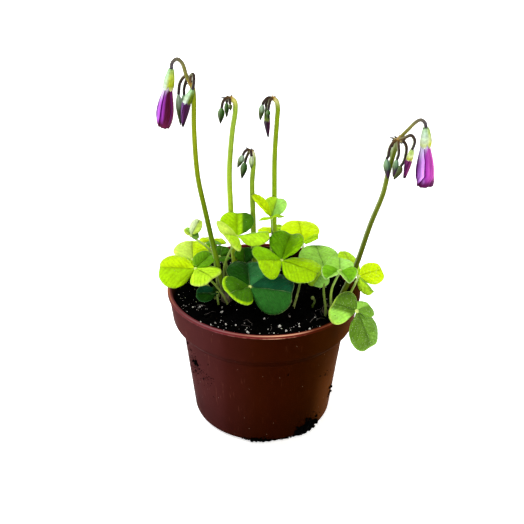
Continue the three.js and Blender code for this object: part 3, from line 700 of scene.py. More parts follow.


# Each leaf is one soft living piece: a thin juicy petiole and three heart-shaped leaflets
# that meet in a pale knuckle at its tip. Each leaflet's green has sun or shade painted into it,
# and its two halves part along the midrib, so that one may be painted lit and one shaded.

# Each leaf has its bulb, foot, tip and bow, its slot's shade, and its leaflets' measures
LEAVES = [
    (0, (-17, -11.5), (-32, -7.5, 80), (2, -2, 2), "lime",
     (179, 2, -35, 18, 19.5, -20, 0, "lime", "sun"),
     (-45, 4, 9, 12.5, 18, -8, 1, "spring", "spring", "pale"),
     (50, 20, 0, 12.5, 13, 15, 0, "grass")),
    (0, (-23, -6.5), (-35, 9.5, 76), (-1, 0, 2), "lime",
     (96, 23, 0, 15, 20, -10, 1, "pale", "blaze"), (-150, -5, 0, 13, 14, -10, 1, "lime"),
     (-30, -5, 0, 10, 11, 10, 0, "lime")),
    (0, (-21.5, -3.5), (-36, 16, 86), (3, 2, 6), "green",
     (25, 60, 50, 9.5, 6.5, 12, 0, "bleached", "pale"), (150, 45, -40, 5, 4, 20, 0, "pale", "mint"),
     (-20, 10, 60, 4.5, 4, 10, 0, "moss", "dusty")),
    (1, (-17.5, 14.5), (-27, 27.3, 78), (1, 1, 3), "lime",
     (140, 0, 0, 7, 8, -10, 0, "blaze", "pale"), (40, -12, 0, 9, 9, -10, 0, "blaze", "sun"),
     (-75, 10, 0, 8, 9, -10, 0, "grass")),
    (0, (-18, -2.5), (-13, 3, 92), (-3.5, -1, 0), "lime",
     (92, 40, 0, 13.5, 17.5, 15, 0, "lime", "moss", None, -2.5),
     (-134, 27, -26, 10, 21.5, 0, 0, "spring", "pale", "pale", 0, 0.88),
     (3, 10, 0, 16, 14, -35, 0, "jelly", "spring")),
    (3, (6, -11), (-6.5, -16, 75.5), (-2, -2, 2), "shade",
     (95, 15, 0, 18.5, 22, 10, 0, "pine", "jade"), (-12, 0, 30, 21, 24, -15, 0, "teal", "fern"),
     (-140, 5, -20, 13, 20, 5, 0, "moss", "moss", "lime", 0, 0.88)),
    (2, (3, 12.5), (3, 6, 100.5), (1, 3, 0), "lime",
     (152, 42, 0, 15, 8.5, 30, 0, "blaze"), (68, 42, 0, 11.5, 13, 15, 0, "spring", "jelly"),
     (-90, 25, 10, 11, 13, 0, 0, "lime")),
    (3, (9.5, -5.5), (8, -5.5, 84), (1, 0, 0), "lime",
     (-137, 20, -37, 17, 19, -10, 0, "lime", "leaf"), (-31, -3, 10, 20.3, 19.5, -8, 0, "lime"),
     (72, 28, 0, 17.5, 19, 25, 0, "fresh", "leaf")),
    (3, (14, -13.5), (19, 18.5, 82), (2, 0, 3), "lime",
     (96, 20, 0, 18.5, 21, -5, 1, "blaze"), (165, 5, 0, 10, 10, 0, 1, "lime"),
     (-10, 30, 0, 9, 9, 0, 0, "lime")),
    (4, (28.5, -19.5), (29, -1.5, 77), (-1, -2, 2), "green",
     (103, 18, 0, 19.5, 21, -5, 0, "mint"), (-125, -14, 0, 11.5, 11, -10, 1, "jelly", "spring"),
     (30, -5, 0, 8, 8, 0, 0, "mint", "leaf")),
    (4, (30.5, -21.5), (34.5, -15, 84), (-2, -3, 4), "green",
     (-142, -8, 0, 9.5, 13, 38, 0, "mint", "emerald", "bleached", 0, 0.94),
     (-65, -8, 0, 10, 14, 45, 0, "emerald", "mint", "bleached", 0, 0.94),
     (88, 14, 0, 10.5, 14, -10, 0, "mint", "jelly")),
    (4, (35, -16.5), (45, -1.5, 74), (1, -2, 3), "lime",
     (118, 28, 0, 17, 10.5, -10, 0, "spring"), (15, 12, 25, 12.8, 13.8, -5, 0, "blaze"),
     (-50, -22, 0, 11.5, 8.5, -40, 0, "mint", "spring")),
    (4, (32.5, -19.5), (41, -32, 73), (0, 0, 5), "green",
     (152, 5, -28, 12.5, 19, -5, 0, "mint", "drab", "pale", 3),
     (34, 6, 16, 8.2, 11.5, -10, 0, "mint", "dusty"),
     (-38, -58, 12, 18.8, 18, -5, 1, "dusty", "drab", "mint", 0, 0.95)),
    (0, (-21.5, -10.5), (-22, -9, 68), (0, -1, 0), "shade",
     (180, 0, -30, 10.5, 9.5, -5, 0, "pine", "teal", "jade"), (110, 20, 0, 4.5, 4, 20, 0, "pine"),
     (-120, 20, 0, 4.5, 4, 20, 0, "pine")),
    (4, (23, -12), (22.8, -12, 68), (1, 0, 0.5), "green"),
    (1, (-10, 9.5), (-9.5, 9, 74.5), (0, 0, 0), "shade",
     (98, 58, 0, 8.5, 11, 20, 0, "moss", "pine"), (-140, 15, 0, 7, 7, 5, 0, "moss", "pine"),
     (-25, 5, 0, 7, 7, 5, 0, "moss", "pine")),
    (1, (-18, 9.5), (-22, 12, 76.5), (1, 0, 2), "green",
     (80, 25, 0, 8, 8, -5, 0, "moss"), (-45, 10, 0, 7, 7, -5, 0, "moss"),
     (-165, 35, 0, 6, 6, 0, 0, "moss")),
    (2, (2, 20), (5, 33, 82), (0, 0, 3), "lime",
     (175, 0, 0, 9, 9, -10, 0, "blaze"), (60, 0, 0, 8, 8, -10, 0, "lime"),
     (-60, 5, 0, 7, 7, 0, 0, "lime")),
]
# Leaf greens with the light painted in: the brightest, such as blaze and sun, are painted sunlight, and
# moss, pine, teal, jade and fern are painted shade
SUNLIT_AND_SHADED_GREENS = dict(
    blaze=0xC6E80A, sun=0xB9DD02, spring=0xB0DE24, lime=0xA0D008, leaf=0x80BA06, grass=0x5A900A,
    moss=0x3C6C08, pine=0x184808, teal=0x124C2E, jade=0x367C44, fern=0x286420, fresh=0x609808,
    emerald=0x74B41A, jelly=0xA4E060, mint=0x98D24C, pale=0xC4E252, bleached=0xD8EAB0,
    dusty=0x66922C, drab=0x567C1E,
)
SUNLIT_AND_SHADED_GREENS = {name: paint(code) for name, code in SUNLIT_AND_SHADED_GREENS.items()}
SHADY = ("moss", "pine", "teal", "jade", "fern")
BLADE = 0.4
WEDGE = radians(58)
NOTCH = 0.06
NOTCH_WIDTH = 0.17
OUTLINE_TURN = radians(87)
ROUNDNESS = 0.42
WAVE = 0.35
WAVE_TURN = radians(400)
QUILT = 0.13
RUFFLE = 0.4
PUFF = 0.055
CURL = 0.035
BLADE_ACROSS = 44
BLADE_ALONG = 24
PETIOLE_RADIUS = 0.6
KNUCKLE_RADIUS = 0.85
CROWN_SPREAD = 0.6
STEM_SEAT = 0.6
KNUCKLE_PALE = paint(0xC8DC78)
UNRIPE = 0.4
PETIOLE_STOPS = hues((0, 0xB9A98E), (0.3, 0x8B9A50), (0.7, 0x7F9B3A), (1, 0xA9C46E))


def buried(bulb, foot):
    """A stem's path from its bulb's crown to its foot at the top of the mix"""
    middle, shoot, _ = BULBS[bulb]
    crown = [at + CROWN_SPREAD * (end - rise) for at, end, rise in zip(middle, foot, shoot)]
    return [(*crown, CROWN_HEIGHT + STEM_SEAT), (*foot, SOIL_LEVEL)]


def leaflet(bm, hub, heading, rise, roll, length, width, fold, droop, plus, minus=None,
            rim=None, part=0, rimmed=0.91):
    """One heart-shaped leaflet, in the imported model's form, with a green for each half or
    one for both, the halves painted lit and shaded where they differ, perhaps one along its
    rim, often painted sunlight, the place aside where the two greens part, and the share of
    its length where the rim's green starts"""
    minus = minus or plus
    tint = layer(bm, "float_color", "tint")
    blade = layer(bm, "float_vector", "blade")
    shady = layer(bm, "float", "shady")
    turn, lift, tilt, bend = map(radians, (heading, rise, roll, fold))
    ahead = Vector((cos(turn) * cos(lift), sin(turn) * cos(lift), sin(lift)))
    level = Vector((-sin(turn), cos(turn), 0))
    side = level * cos(tilt) + ahead.cross(level) * sin(tilt)
    normal = ahead.cross(side)
    seed = Vector((heading, length, width))

    def put(corner, share, v, offset):
        angle = WEDGE * share
        notch = 1 - NOTCH * exp(-((share / NOTCH_WIDTH) ** 2))
        reach = length * cos(OUTLINE_TURN * share) ** ROUNDNESS * notch
        forward = reach * v * cos(angle)
        aside = reach * v * sin(angle) * width / length
        rest = (forward / length) ** 2
        flat = Vector((aside, forward, 0))
        softened = sqrt(aside ** 2 + 0.16) - 0.4
        veins = sin(2.2 * (forward - 0.7 * abs(aside)) + 2 * noise.noise(flat * 0.2 + seed))
        ruffle = RUFFLE * v * (1.25 - v) * 2.5
        crinkle = noise.noise(flat * 0.3 + seed) * ruffle + QUILT * veins * min(v, 0.6)
        lobe = PUFF * width * sin(pi * abs(share)) ** 0.8 * sin(pi * v)
        curl = CURL * width * max(0, (v - 0.7) / 0.3) ** 2
        height = (softened * sin(bend) - droop * rest + lobe - curl
                  + WAVE * rest * sin(WAVE_TURN * share) + crinkle)
        corner.co = (hub + ahead * forward + side * (aside * cos(bend))
                     + normal * (height + offset))
        # The two halves' greens are painted lit and shaded, and the rim's green is often painted
        # sunlight
        half = clamped((aside - part) / 1.2 + 0.5)
        green = SUNLIT_AND_SHADED_GREENS[minus].lerp(SUNLIT_AND_SHADED_GREENS[plus], half)
        # Painted shade along the midrib's crease, and painted light and shade following the crinkles
        green = green * (1.06 - 0.22 * exp(-abs(aside) / 0.9) + 0.35 * crinkle)
        if rim:
            green = green.lerp(SUNLIT_AND_SHADED_GREENS[rim], clamped((v - rimmed) / 0.08))
        corner[tint] = (*green.lerp(KNUCKLE_PALE, max(0, 0.5 - 6 * v)), 1)
        corner[blade] = Vector((aside, forward, v))
        corner[shady] = (plus in SHADY) * half + (minus in SHADY) * (1 - half)

    thin_sheet(bm, BLADE_ACROSS, BLADE_ALONG, BLADE, put)


# The midrib, side veins and thin margin of a leaflet, from its own measures
veins, given, results = effect(
    "leaf_veins", dict(Blade="Vector"), dict(Rib="Float", Vein="Float", Margin="Float"))
measures = apart(veins, given["Blade"])
aside = maths(veins, "ABSOLUTE", measures["X"])
on_blade = maths(veins, "GREATER_THAN", measures["Z"], 0.02)
rib = ramped(veins, aside, 0.08, 0.24, 1, 0)
veins.links.new(maths(veins, "MULTIPLY", rib, on_blade), results["Rib"])
wander = noised(veins, object_place(veins), 220, 2)
rows = maths(veins, "MULTIPLY_ADD", measures["Y"], 0.5, wander)
rows = maths(veins, "MULTIPLY_ADD", aside, -0.42, rows)
spacing = maths(veins, "PINGPONG", rows, 0.5)
line = ramped(veins, spacing, 0, 0.09, 1, 0)
clear = ramped(veins, aside, 0.3, 1)
line = maths(veins, "MULTIPLY", line, clear)
veins.links.new(maths(veins, "MULTIPLY", line, on_blade), results["Vein"])
veins.links.new(ramped(veins, measures["Z"], 0.975, 0.992), results["Margin"])

PALE_VEIN = tone(0xC4DC90)


def leaf_material(name, spots):
    """A leaf's skin, with more or fewer pale dusty spots on it"""
    made, tree, shader = material(name, roughness=0.45, specular=0.03)
    shady = attribute(tree, "shady", "Fac")
    here = object_place(tree)
    lines = placed(tree, veins, attribute(tree, "blade", "Vector"))
    base = placed(tree, mottle, attribute(tree, "tint"), 240, 0.34)[0]
    base = placed(tree, mottle, base, 900, 0.3)[0]
    # Painted shade: on sunlit greens the rib and veins are darkened like creases, on shaded greens they
    # show pale
    painted_crease_or_pale_vein = mixed(tree, shady, scaled(tree, base, 0.45), PALE_VEIN)
    patchy = ramped(tree, noised(tree, here, 260), 0.35, 0.65)
    for line, sunny, shaded in (("Rib", 0.5, 0.25), ("Vein", 0.34, 0.05)):
        mask = maths(tree, "MULTIPLY", lines[line], ramped(tree, shady, 0, 1, sunny, shaded))
        base = laid(tree, base, painted_crease_or_pale_vein, mask, patchy)
    base = laid(tree, base, PALE_VEIN, lines["Margin"], 0.25)
    dark = placed(tree, speck, 420, 0.1, 0.3)[0]
    base = laid(tree, base, tone(0x1A2408), dark, 0.7)
    dust = placed(tree, speck, 1700, 0.28, spots)[0]
    base = laid(tree, base, tone(0xD4E4B4), dust, 0.3)
    skin = placed(tree, grain, 3000, 1.2)[0]
    relief = maths(tree, "MULTIPLY_ADD", lines["Rib"], -3, skin)
    relief = maths(tree, "MULTIPLY_ADD", lines["Vein"], -1.5, relief)
    relief = maths(tree, "MULTIPLY_ADD", noised(tree, here, 500), 6, relief)
    dressed(tree, shader, base, relief, 0.00015)
    return made


clean_leaf = leaf_material("leaf_skin", 0.01)
dusty_leaf = leaf_material("dusty_leaf_skin", 0.4)
DUSTY_LEAVES = (10, 12, 13)


def knob(bm, middle, radius, colour, sides, step, width=1):
    """A small round swelling in a stem"""
    up = Vector((0, 0, radius))
    tube(bm, finely([middle - up, middle + up], step), sides,
         lambda along, _: radius * sqrt(max(0, 1 - (2 * along - 1) ** 2)) * width + 0.05,
         [(1, colour)])


for k, (bulb, foot, tip, bow, shade, *leaflets) in enumerate(LEAVES):
    number = f"{k + 1:02d}"
    hub = Vector(tip)
    bm = bmesh.new()
    rooted = buried(bulb, foot)
    middle = (Vector(rooted[1]) + hub) / 2 + Vector(bow)
    ripe = 1 if leaflets else UNRIPE
    tube(bm, curve_through([*rooted, middle, hub], 30), 10,
         lambda along, _: PETIOLE_RADIUS * (1.1 - 0.25 * along),
         lambda along, _: graded(PETIOLE_STOPS, along) * ripe)
    knob(bm, hub, KNUCKLE_RADIUS, KNUCKLE_PALE * ripe, sides=10, step=0.2)
    for measures in leaflets:
        leaflet(bm, hub, *measures)
    skin = dusty_leaf if k + 1 in DUSTY_LEAVES else clean_leaf
    finished(bm, f"leaf_{number}_blades", skin, f"leaf_{shade}", f"leaf_{number}")


# A flower stalk is a bare round stem, lime low down and golden at its hooked tip, where an
# umbel of thin brown pedicels holds up a nodding bunch. The same living piece carries each
# bud's green skin and each flower's cup of five pointed sepals, and small dark bracts.

# Each stalk has its bulb, foot, umbel and stoutness, its greens from foot to tip, its path
# between, how far each bract's tip stands aside and up, and its buds: their width, skin or
# cup, pedicel's path and own axis. A cup has its share of the axis, its skins on the left
# and right, and a shift of where they meet.
SCAPES = [
    (0, (-18.5, -7), (-32, -5, 166), 1.18, (0x708E1E, 0x506A04, 0x7C8A14, 0x8C8424),
     [(-22, -4.5, 81), (-27, -5, 108), (-30, -5, 125), (-31, -5, 145), (-31, -5, 164)],
     [(-1.6, -0.8), (1.2, 1.4), (0.8, -1.2)],
     [(7.4, (0.36, "mint", "citron", 0.95),
       [(-33.5, -5.5, 169.5), (-35, -6, 174.5), (-37, -6, 176), (-39, -6, 174.5)],
       [(-39.5, -6, 172), (-42, -6, 160), (-44, -6, 147.5)]),
      (3.9, (0.42, "mint", "olive", 0.5), [(-31.5, -7, 169.5), (-30.2, -9, 170.5), (-30, -10, 167.5)],
       [(-30.6, -10, 164.6), (-33.4, -10, 158.5), (-35.2, -10, 148.9)]),
      (2.8, "frosted", [(-34, -4, 168.5), (-36.5, -2.5, 165.5)],
       [(-37.4, -2, 160.5), (-37.1, -2, 147)]),
      (2.4, "grey", [(-33, -3, 168), (-35, -1, 163)], [(-35.3, 0, 160), (-35.4, 0.5, 152)])]),
    (1, (-14, 12.5), (-16.3, 15, 154.7), 1.32, (0xB8D634, 0xA8C428, 0x88A234, 0xD0CC70),
     [(-15.5, 15, 82), (-16.5, 16, 100), (-17, 16, 120), (-15.5, 15.5, 139.5), (-14.1, 15, 149),
      (-14.4, 15, 153.2)],
     [(-4.4, -0.2), (0.6, 2.8), (-1.6, 1), (1, 1.2), (-1.2, -1.2)],
     [(3.1, "green", [(-17.7, 14.5, 155), (-19.4, 14, 153.5)],
       [(-20.2, 14, 150.5), (-20.8, 14, 143.2)]),
      (2.2, "green", [(-17.2, 16.5, 154), (-17.9, 17.5, 153)],
       [(-18.1, 17.5, 152), (-18.1, 17.5, 145)]),
      (1.8, "olive", [(-16.6, 13.5, 154.2), (-16.4, 12.6, 153.6)],
       [(-16.3, 12.3, 152.8), (-16, 12, 149.8)])]),
    (2, (-4, 15.5), (-7, 13, 131), 1.3, (0x98B630, 0x92B02C, 0x7A9428, 0xDCDCB0),
     [(-5.2, 15, 80), (-5.7, 14.5, 97), (-6.3, 14, 115), (-5.7, 13.5, 124.5), (-6, 13, 129.3)],
     [(-2.6, 1.2), (0.6, 1.6), (1.8, 0.4), (-1.4, -1.6)],
     [(2.8, "frosted", [(-8.6, 12.5, 131.5), (-9.9, 12, 130.6)],
       [(-10.5, 12, 129.2), (-13.1, 12, 123)]),
      (3.2, "green", [(-7.8, 14, 130), (-9, 15, 127)], [(-9.7, 15, 124.6), (-11.2, 15, 116.5)]),
      (2.4, "pale", [(-6.9, 11.4, 130.8), (-6.7, 11, 129.7)],
       [(-6.6, 10.9, 129.1), (-6.7, 10.9, 122.9)])]),
    (2, (4.5, 16.5), (2.7, 15, 155), 1.24, (0xC0E444, 0x8CAC18, 0x748A14, 0xC8C880),
     [(4.6, 17, 82), (4.4, 17, 105), (4.1, 16, 128), (4.8, 15.5, 145), (5, 15, 150.5),
      (4.3, 15, 153.8)],
     [(-0.6, 2.7), (-2.4, 1), (1.3, 1), (-2.8, 0)],
     [(2.7, "frosted", [(0.6, 14.5, 155.2), (-1.1, 14, 153.8)], [(-1.9, 14, 152.3), (-2.9, 14, 144.9)]),
      (2.8, (0.5, "forest", "forest", 0.5), [(1, 16, 154), (-0.3, 16.5, 152)],
       [(0, 16.5, 150), (0.3, 16.5, 144), (0.9, 16.5, 136.5)]),
      (2, "green", [(1.6, 13, 154.5), (0.9, 12, 152)], [(0.7, 11.7, 150.5), (0.7, 11.5, 146.5)])]),
    (4, (33.5, -13), (56.6, -5, 143), 1.2, (0x4C5A0C, 0x444E08, 0x5E6A1C, 0x8C9468),
     [(38, -9.5, 72), (42.4, -6.5, 81.5), (48, -5, 103), (52.4, -5, 118), (53.7, -5, 127.5)],
     [(-3.5, 0.5), (-2, 2.1), (0.6, 4.2), (3.9, -0.4), (3.6, -1.7), (-2.6, -0.8), (1.8, 0.8), (-1, 1.2),
      (2.4, -2.6)],
     [(8.2, (0.34, "cream", "honey", -0.1),
       [(61, -5, 148), (63.5, -5, 150.8), (65.5, -5, 151.8), (67.3, -5, 150.6)],
       [(68, -5, 148.5), (69.3, -5, 135), (70.5, -5, 122.2)]),
      (3, (0.4, "honey", "honey", 0.5),
       [(59, -7, 144.5), (61.5, -8.5, 146), (63, -9, 144), (62.8, -9, 141.5)],
       [(62.3, -9, 140), (61.3, -9, 134), (60.3, -9, 127)]),
      (3.2, "olive", [(58.8, -4, 142.3), (60.8, -3.5, 139.5), (61, -3, 135), (60.4, -3, 132)],
       [(59.5, -3, 130.4), (56.8, -3.5, 124)]),
      (3.1, "grey", [(54.5, -6, 142), (53, -7, 139.5), (52.4, -8, 136)],
       [(51.8, -8.3, 135.3), (53.3, -8.5, 126.2)]),
      (2.6, "grey", [(56.6, -7.5, 141), (56.8, -9, 138)], [(56.2, -9.3, 135.5), (55.2, -9.5, 127.6)]),
      (2.8, "pale", [(55.8, -3, 142.5), (55.3, -1, 140)], [(55.2, -0.8, 138.5), (55, -0.6, 133)])]),
]
FRONT = Vector((0, -1, 0))
SCAPE_RADIUS = 1.12
SCAPE_TAPER = 0.22
PEDICEL_RADIUS = 0.74
STOUT_PEDICEL_RADIUS = 0.84
KNOT_RADIUS = 0.6
KNOT_GROWTH = 0.09
PETALS = 5
BUD_BLUNT = 0.3
BUD_WIDEST = 0.34
BUD_RIBS = 0.08
OPEN_WIDTH = 6
OPEN_NECK = 0.29
CLOSED_NECK = 0.44
CALYX_ROOT = 0.48
CALYX_RIBS = 0.05
SEPAL = 0.22
STALK_FOOT = paint(0x9C8C6C)
PEDICEL_STOPS = hues((0, 0x94723C), (0.12, 0x5C4628), (0.4, 0x3E3028), (1, 0x30282E))
STOUT_PEDICEL_STOPS = hues((0, 0xA88440), (0.15, 0x7C7834), (0.5, 0x706C3C), (0.72, 0x605A4C),
                           (0.88, 0x4C444A), (1, 0x443C46))
BUD_TIP = 0x160C14
BUD_HIGHLIGHT = paint(0xA8CC98)
BUD_SKINS = dict(
    green=hues((0, 0x44702E), (0.35, 0x2C4A18), (0.7, 0x202818), (1, BUD_TIP)),
    grey=hues((0, 0x7CA084), (0.35, 0x4C6A4C), (0.55, 0x342C38), (0.8, 0x381038), (1, BUD_TIP)),
    frosted=hues((0, 0xA8C0A8), (0.25, 0x8AA084), (0.5, 0x384820), (1, BUD_TIP)),
    pale=hues((0, 0xD4DCC0), (0.4, 0xA8BC84), (0.75, 0x54663C), (1, BUD_TIP)),
    olive=hues((0, 0x5A6430), (0.4, 0x464E22), (0.8, 0x2C3018), (1, BUD_TIP)),
)
SEPALS = dict(
    mint=hues((0, 0xA0D090), (0.3, 0xBCE0B4), (0.7, 0xC8E0C0), (1, 0xD4DCDC)),
    citron=hues((0, 0xA8CC6C), (0.3, 0xC0D250), (0.75, 0xA8B410), (1, 0xD8DC9C)),
    olive=hues((0, 0x7CA060), (0.3, 0x627A18), (0.75, 0x566610), (1, 0x504448)),
    forest=hues((0, 0x2A3C10), (0.3, 0x26380E), (0.6, 0x4A6420), (0.85, 0x7A8C38), (1, 0x4C5030)),
    cream=hues((0, 0xACD49C), (0.3, 0xD0ECD4), (0.65, 0xD8EAC4), (0.85, 0xC8D488), (1, 0xE8E8F4)),
    honey=hues((0, 0xBCD88C), (0.25, 0xB8D468), (0.5, 0xDCE8A8), (0.8, 0xC0C81C), (1, 0xE4E4C4)),
)
UMBEL_GOLD = paint(0xA8803E)
BRACT_STOPS = hues((0.3, 0xC8B880), (0.55, 0x2A2830))

stalk_skin, tree, shader = material("stalk_skin", roughness=0.5, specular=0.01)
base = placed(tree, mottle, attribute(tree, "tint"), 300, 0.25)[0]
base = placed(tree, mottle, base, 2200, 0.3)[0]
# Painted light: a pale edge on faces turned left, and painted shade on faces turned right
sideways = facing(tree)["X"]
base = mixed(tree, ramped(tree, sideways, -0.95, -0.4, 0.3, 0), base, tone(0xD0DCA8))
base = scaled(tree, base, ramped(tree, sideways, 0.2, 0.8, 1, 0.74))
dressed(tree, shader, base, placed(tree, grain, 3600, 1)[0], 0.0001)


def bud(bm, axis, width, skin):
    """A green bud: a spindle with five low ribs, dark at its tip, with a painted highlight on its upper
    left
    """
    def radius_at(along, angle):
        belly = sin(min(along / BUD_WIDEST, 1) * pi / 2) ** 0.8
        rib = 1 + BUD_RIBS * cos(PETALS * angle)
        point = 1 - 0.9 * (max(0, along - BUD_WIDEST) / (1 - BUD_WIDEST)) ** 1.5
        return width / 2 * (BUD_BLUNT + (1 - BUD_BLUNT) * belly) * rib * point

    def colour_at(along, angle):
        seam = 0.8 + 0.2 * cos(PETALS * angle)
        # Painted highlight on the upper left of the bud
        highlight = 0.4 * max(0, cos(angle - 1)) ** 2 * max(0, 1 - 1.8 * along)
        return (graded(skin, along) * seam).lerp(BUD_HIGHLIGHT, highlight)

    tube(bm, curve_through(axis, 20), 30, radius_at, colour_at, FRONT)


def calyx(bm, axis, width, cup, left, right, shift):
    """Five sepals, each a thin blade lapping the next over the petals' root"""
    neck = (OPEN_NECK if width > OPEN_WIDTH else CLOSED_NECK) * width
    places = curve_through(axis, 16, 0, cup)
    turns = frames(places, FRONT)
    tint = layer(bm, "float_color", "tint")
    for k in range(PETALS):
        def put(corner, share, v, offset):
            step = round(v * 16)
            narrow = min(1, (1 - v) / 0.3) ** 0.6
            angle = 2 * pi * (k + 0.4 + share * (0.1 + 0.5 * narrow)) / PETALS
            widened = CALYX_ROOT + (1 - CALYX_ROOT) * sin(min(1.3 * v, 1) * pi / 2)
            out = neck * widened * (1 + CALYX_RIBS * cos(PETALS * angle)) + 0.12 * share + offset
            outward = outwards(turns[step], angle)
            corner.co = places[step] + out * outward
            away = clamped(2 * outward.x + shift)
            green = graded(SEPALS[left], v).lerp(graded(SEPALS[right], v), away)
            blotch = noise.noise(corner.co * 0.9)
            corner[tint] = (*(green * (0.9 + 0.3 * blotch) * (0.85 + 0.15 * (1 - share ** 2))), 1)

        thin_sheet(bm, 8, 16, SEPAL, put)
    tube(bm, places[:3], 20, lambda *_: neck * (CALYX_ROOT - 0.04), SEPALS[left][:1])


for k, (bulb, foot, umbel, stout, greens, stalk, bracts, buds) in enumerate(SCAPES):
    umbel = Vector(umbel)
    bm = bmesh.new()
    low, middle, high, tip = map(paint, greens)
    stops = [(0, STALK_FOOT), (0.12, low), (0.4, middle), (0.8, high), (0.95, high),
             (0.985, tip), (1, UMBEL_GOLD)]
    tube(bm, curve_through([*buried(bulb, foot), *stalk, umbel], 90), 16,
         lambda along, _: SCAPE_RADIUS * stout * (1 - SCAPE_TAPER * along), stops)
    knot = KNOT_RADIUS + KNOT_GROWTH * len(buds)
    knob(bm, umbel, knot, UMBEL_GOLD, sides=14, step=0.25, width=0.9)
    for turn, (x, z) in enumerate(bracts):
        thick = 0.16 if z > 2.5 else 0.5
        tip = umbel + Vector((x, 1.5 * cos(2.4 * turn), z))
        tube(bm, finely([umbel, tip], 0.4), 8,
             lambda along, _: thick * (1 - along) ** 0.5 + 0.06, BRACT_STOPS)
    for width, skin, pedicel, axis in buds:
        opened = width > OPEN_WIDTH
        thick = STOUT_PEDICEL_RADIUS if opened else PEDICEL_RADIUS
        browns = STOUT_PEDICEL_STOPS if opened else PEDICEL_STOPS
        tube(bm, curve_through([umbel, *pedicel, axis[0]], 26), 10,
             lambda along, _: thick * (1 - 0.1 * along), browns)
        if skin in BUD_SKINS:
            bud(bm, axis, width, BUD_SKINS[skin])
        else:
            calyx(bm, axis, width, *skin)
    finished(bm, f"scape_{k + 1}_stalk", stalk_skin, "scape", f"scape_{k + 1}")


# Each coloured flower is furled: five silky petals wound round each other, every one
# lapping over the next, lilac and wine-dark, with painted light on the left, painted shadow
# in their folds and a painted highlight along each lapping edge.
SEAT = 0.45
PETAL_ROOT = 0.36
OPEN_WIDEST = 0.74
CLOSED_WIDEST = 0.32
PETAL_SWELL = 1.75
LAP = 0.15
PETAL = 0.2
TUCK = 0.45

# For each flower how wide and how slanted its mouth is, the turn of its nearest petal edge at
# four places down it, its pale neck, its folds' painted shadow, its foot, and its colours from
# left to right, lighter on the left with painted light
EDGE_PLACES = (0, 0.45, 0.75, 1)
FLOWERS = {
    "1_1": (0.68, 0.16, (0.5, 0.4, 0.35, 0.5), 0xE4DCF0, 0x6A1078, 0x560A34,
        (0, 0x6A2484), (0.12, 0xB060D0), (0.3, 0xA044B4), (0.46, 0x883498), (0.53, 0x4A0230),
        (0.85, 0x420020), (1, 0x6A1C40)),
    "1_2": (0.22, 0, (0.2, 0.5, 0.8, 1.1), 0x6A4480, 0x1C0422, 0x14040C,
        (0, 0x3A1C40), (0.2, 0x805090), (0.36, 0x501050), (0.55, 0x340630), (1, 0x3A1A34)),
    "4_2": (0.2, 0, (0.1, 0.2, 0.3, 0.4), 0x4A3C4C, 0x1C0818, 0x12040C,
        (0, 0x4C404C), (0.4, 0x342234), (0.6, 0x2C0824), (0.85, 0x380830), (1, 0x7C0C64)),
    "5_1": (0.88, 0, (0.65, 0.22, 0.2, 1), 0xDCD4F8, 0x6C0874, 0x500844,
        (0, 0x6C2484), (0.08, 0xA860CC), (0.22, 0xD090EC), (0.35, 0xC888E8), (0.4, 0x9A38A4),
        (0.6, 0xB044AC), (0.8, 0xA8389C), (0.92, 0xB84CA4), (1, 0xD878C0)),
    "5_2": (0.35, 0, (0.2, 0.3, 0.4, 0.5), 0x8A3A78, 0x380A34, 0x2A0420,
        (0, 0x460C42), (0.4, 0x58164E), (0.65, 0x7A2860), (1, 0x5A1444)),
}

petal_skin, tree, shader = material("petal_skin", roughness=0.6, specular=0.08)
silk = stretched(tree, attribute(tree, "silk", "Vector"), (22, 2.5, 1))
streaks = noised(tree, silk, 1)
base = scaled(tree, attribute(tree, "tint"), ramped(tree, streaks, 0.25, 0.75, 0.6, 1.4))
dressed(tree, shader, base, streaks, 0.00025)


def corolla_radius(width, mouth, along):
    widest, falling = (OPEN_WIDEST, 2) if width > OPEN_WIDTH else (CLOSED_WIDEST, 1.4)
    opened = sin(min(along / widest, 1) * pi / 2) ** PETAL_SWELL
    past = (max(along - widest, 0) / (1 - widest)) ** falling
    return width / 2 * (PETAL_ROOT + (1 - PETAL_ROOT) * opened) * (1 - (1 - mouth) * past)


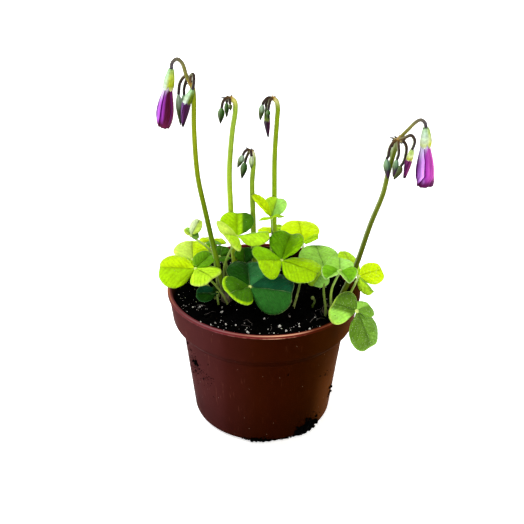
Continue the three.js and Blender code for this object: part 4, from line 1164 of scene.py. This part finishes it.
for name, (mouth, slant, edges, neck, fold, foot, *across) in FLOWERS.items():
    neck, fold, foot = map(paint, (neck, fold, foot))
    across = hues(*across)
    scape_number, place = map(int, name.split("_"))
    width, skin, _, axis = SCAPES[scape_number - 1][-1][place - 1]
    steps = 30
    places = curve_through(axis, steps, skin[0] * SEAT, 1)
    turns = frames(places, FRONT)
    bm = bmesh.new()
    tint = layer(bm, "float_color", "tint")
    silk = layer(bm, "float_vector", "silk")
    for k in range(PETALS):
        def put(corner, share, v, offset):
            step = round(v * steps)
            u = (share + 1) / 2
            lap = u * (1 + TUCK) - TUCK
            angle = 2 * pi * (k - lap + interp(v, EDGE_PLACES, edges)) / PETALS
            out = corolla_radius(width, mouth, v) * (1 - LAP + LAP * lap)
            outward = outwards(turns[step], angle)
            pleat = noise.noise(Vector((5 * u, 1.2 * v, 3 * k)))
            wave = 0.4 * noise.noise(Vector((3 * u, k, 5))) + slant * outward.x * out
            corner.co = (places[step] + outward * (out * (1 + 0.1 * pleat) + offset)
                         + turns[step][0] * wave * v ** 4)
            # Painted light: lighter on the left, painted shadow in each fold beside a lapping edge, a
            # painted highlight along that edge, and painted light and shade on the pleats
            shade = graded(across, (outward.x + 1) / 2)
            pale = max(0.03, 0.13 - 0.26 * outward.x)
            shade = neck.lerp(shade, clamped((v - 0.17) / pale))
            fold_shadow = (1 - clamped(lap / 0.5)) ** 1.1 * min(1, 4 * v)
            shade = shade.lerp(fold, 0.95 * fold_shadow)
            shade = shade * (1 + 0.5 * max(0, lap - 0.84) / 0.16)
            shade = shade.lerp(foot, clamped((v - 0.78) / 0.14) ** 1.5)
            corner[tint] = (*(shade * (1 + 0.5 * pleat)), 1)
            corner[silk] = Vector((u + k, v, 0))

        thin_sheet(bm, 16, steps, PETAL, put)
    finished(bm, f"corolla_{name}_petals", petal_skin, "corolla", f"corolla_{name}")


# Plain studio: a pale floor that rises far off on every side, and even white light, with a
# cool broad light from the left and behind and a little warm light from the right.
STAGE_PROFILE = [(0, -0.2), (4500, -0.2), (5400, 300), (6000, 2000)]

floor_paint, tree, shader = material("studio_floor", roughness=0.9, specular=0.1)
floor_noise = noised(tree, object_place(tree), 30)
dressed(tree, shader, mixed(tree, ramped(tree, floor_noise, 0.3, 0.7), tone(0xF8F8F8), tone(0xFCFCFC)))
shader["Emission Color"].default_value = (1, 1, 1, 1)
shader["Emission Strength"].default_value = 0.6
floor = solid(spun(finely(STAGE_PROFILE, 300), 64), "studio_floor")
floor.data.materials.append(floor_paint)

world = bpy.data.worlds.new("studio")
world.use_nodes = True
sky = world.node_tree.nodes["Background"].inputs
sky["Color"].default_value = (1, 1, 1, 1)
sky["Strength"].default_value = 0.35
bpy.context.scene.world = world


def sun(name, azimuth, elevation, strength, colour, softness):
    """A broad far light, from a turn round the object (0 is in front) and a height"""
    lamp = bpy.data.lights.new(name, "SUN")
    lamp.energy = strength
    lamp.color = colour
    lamp.angle = radians(softness)
    standing(name, lamp).rotation_euler = (radians(90 - elevation), 0, radians(azimuth))


sun("key", -115, 54, 2.65, (0.97, 0.99, 1), 25)
sun("fill", 45, 42, 0.85, (1, 0.92, 0.8), 60)
bpy.context.scene.view_settings.view_transform = "Standard"

# The camera stands in front, looking down on the pot as the photo does
AIM = Vector((-0.0011, 0, 0.0803))
DISTANCE = 0.35
LOOK_DOWN = radians(27.2)
LEAN = radians(0.81)
LENS = 50.63
camera_data = bpy.data.cameras.new("camera")
camera_data.lens = LENS
camera = standing("camera", camera_data)
turned = Matrix.Rotation(pi / 2 - LOOK_DOWN, 4, "X") @ Matrix.Rotation(LEAN, 4, "Z")
camera.matrix_world = Matrix.Translation(AIM) @ turned @ Matrix.Translation((0, 0, DISTANCE))
bpy.context.scene.camera = camera
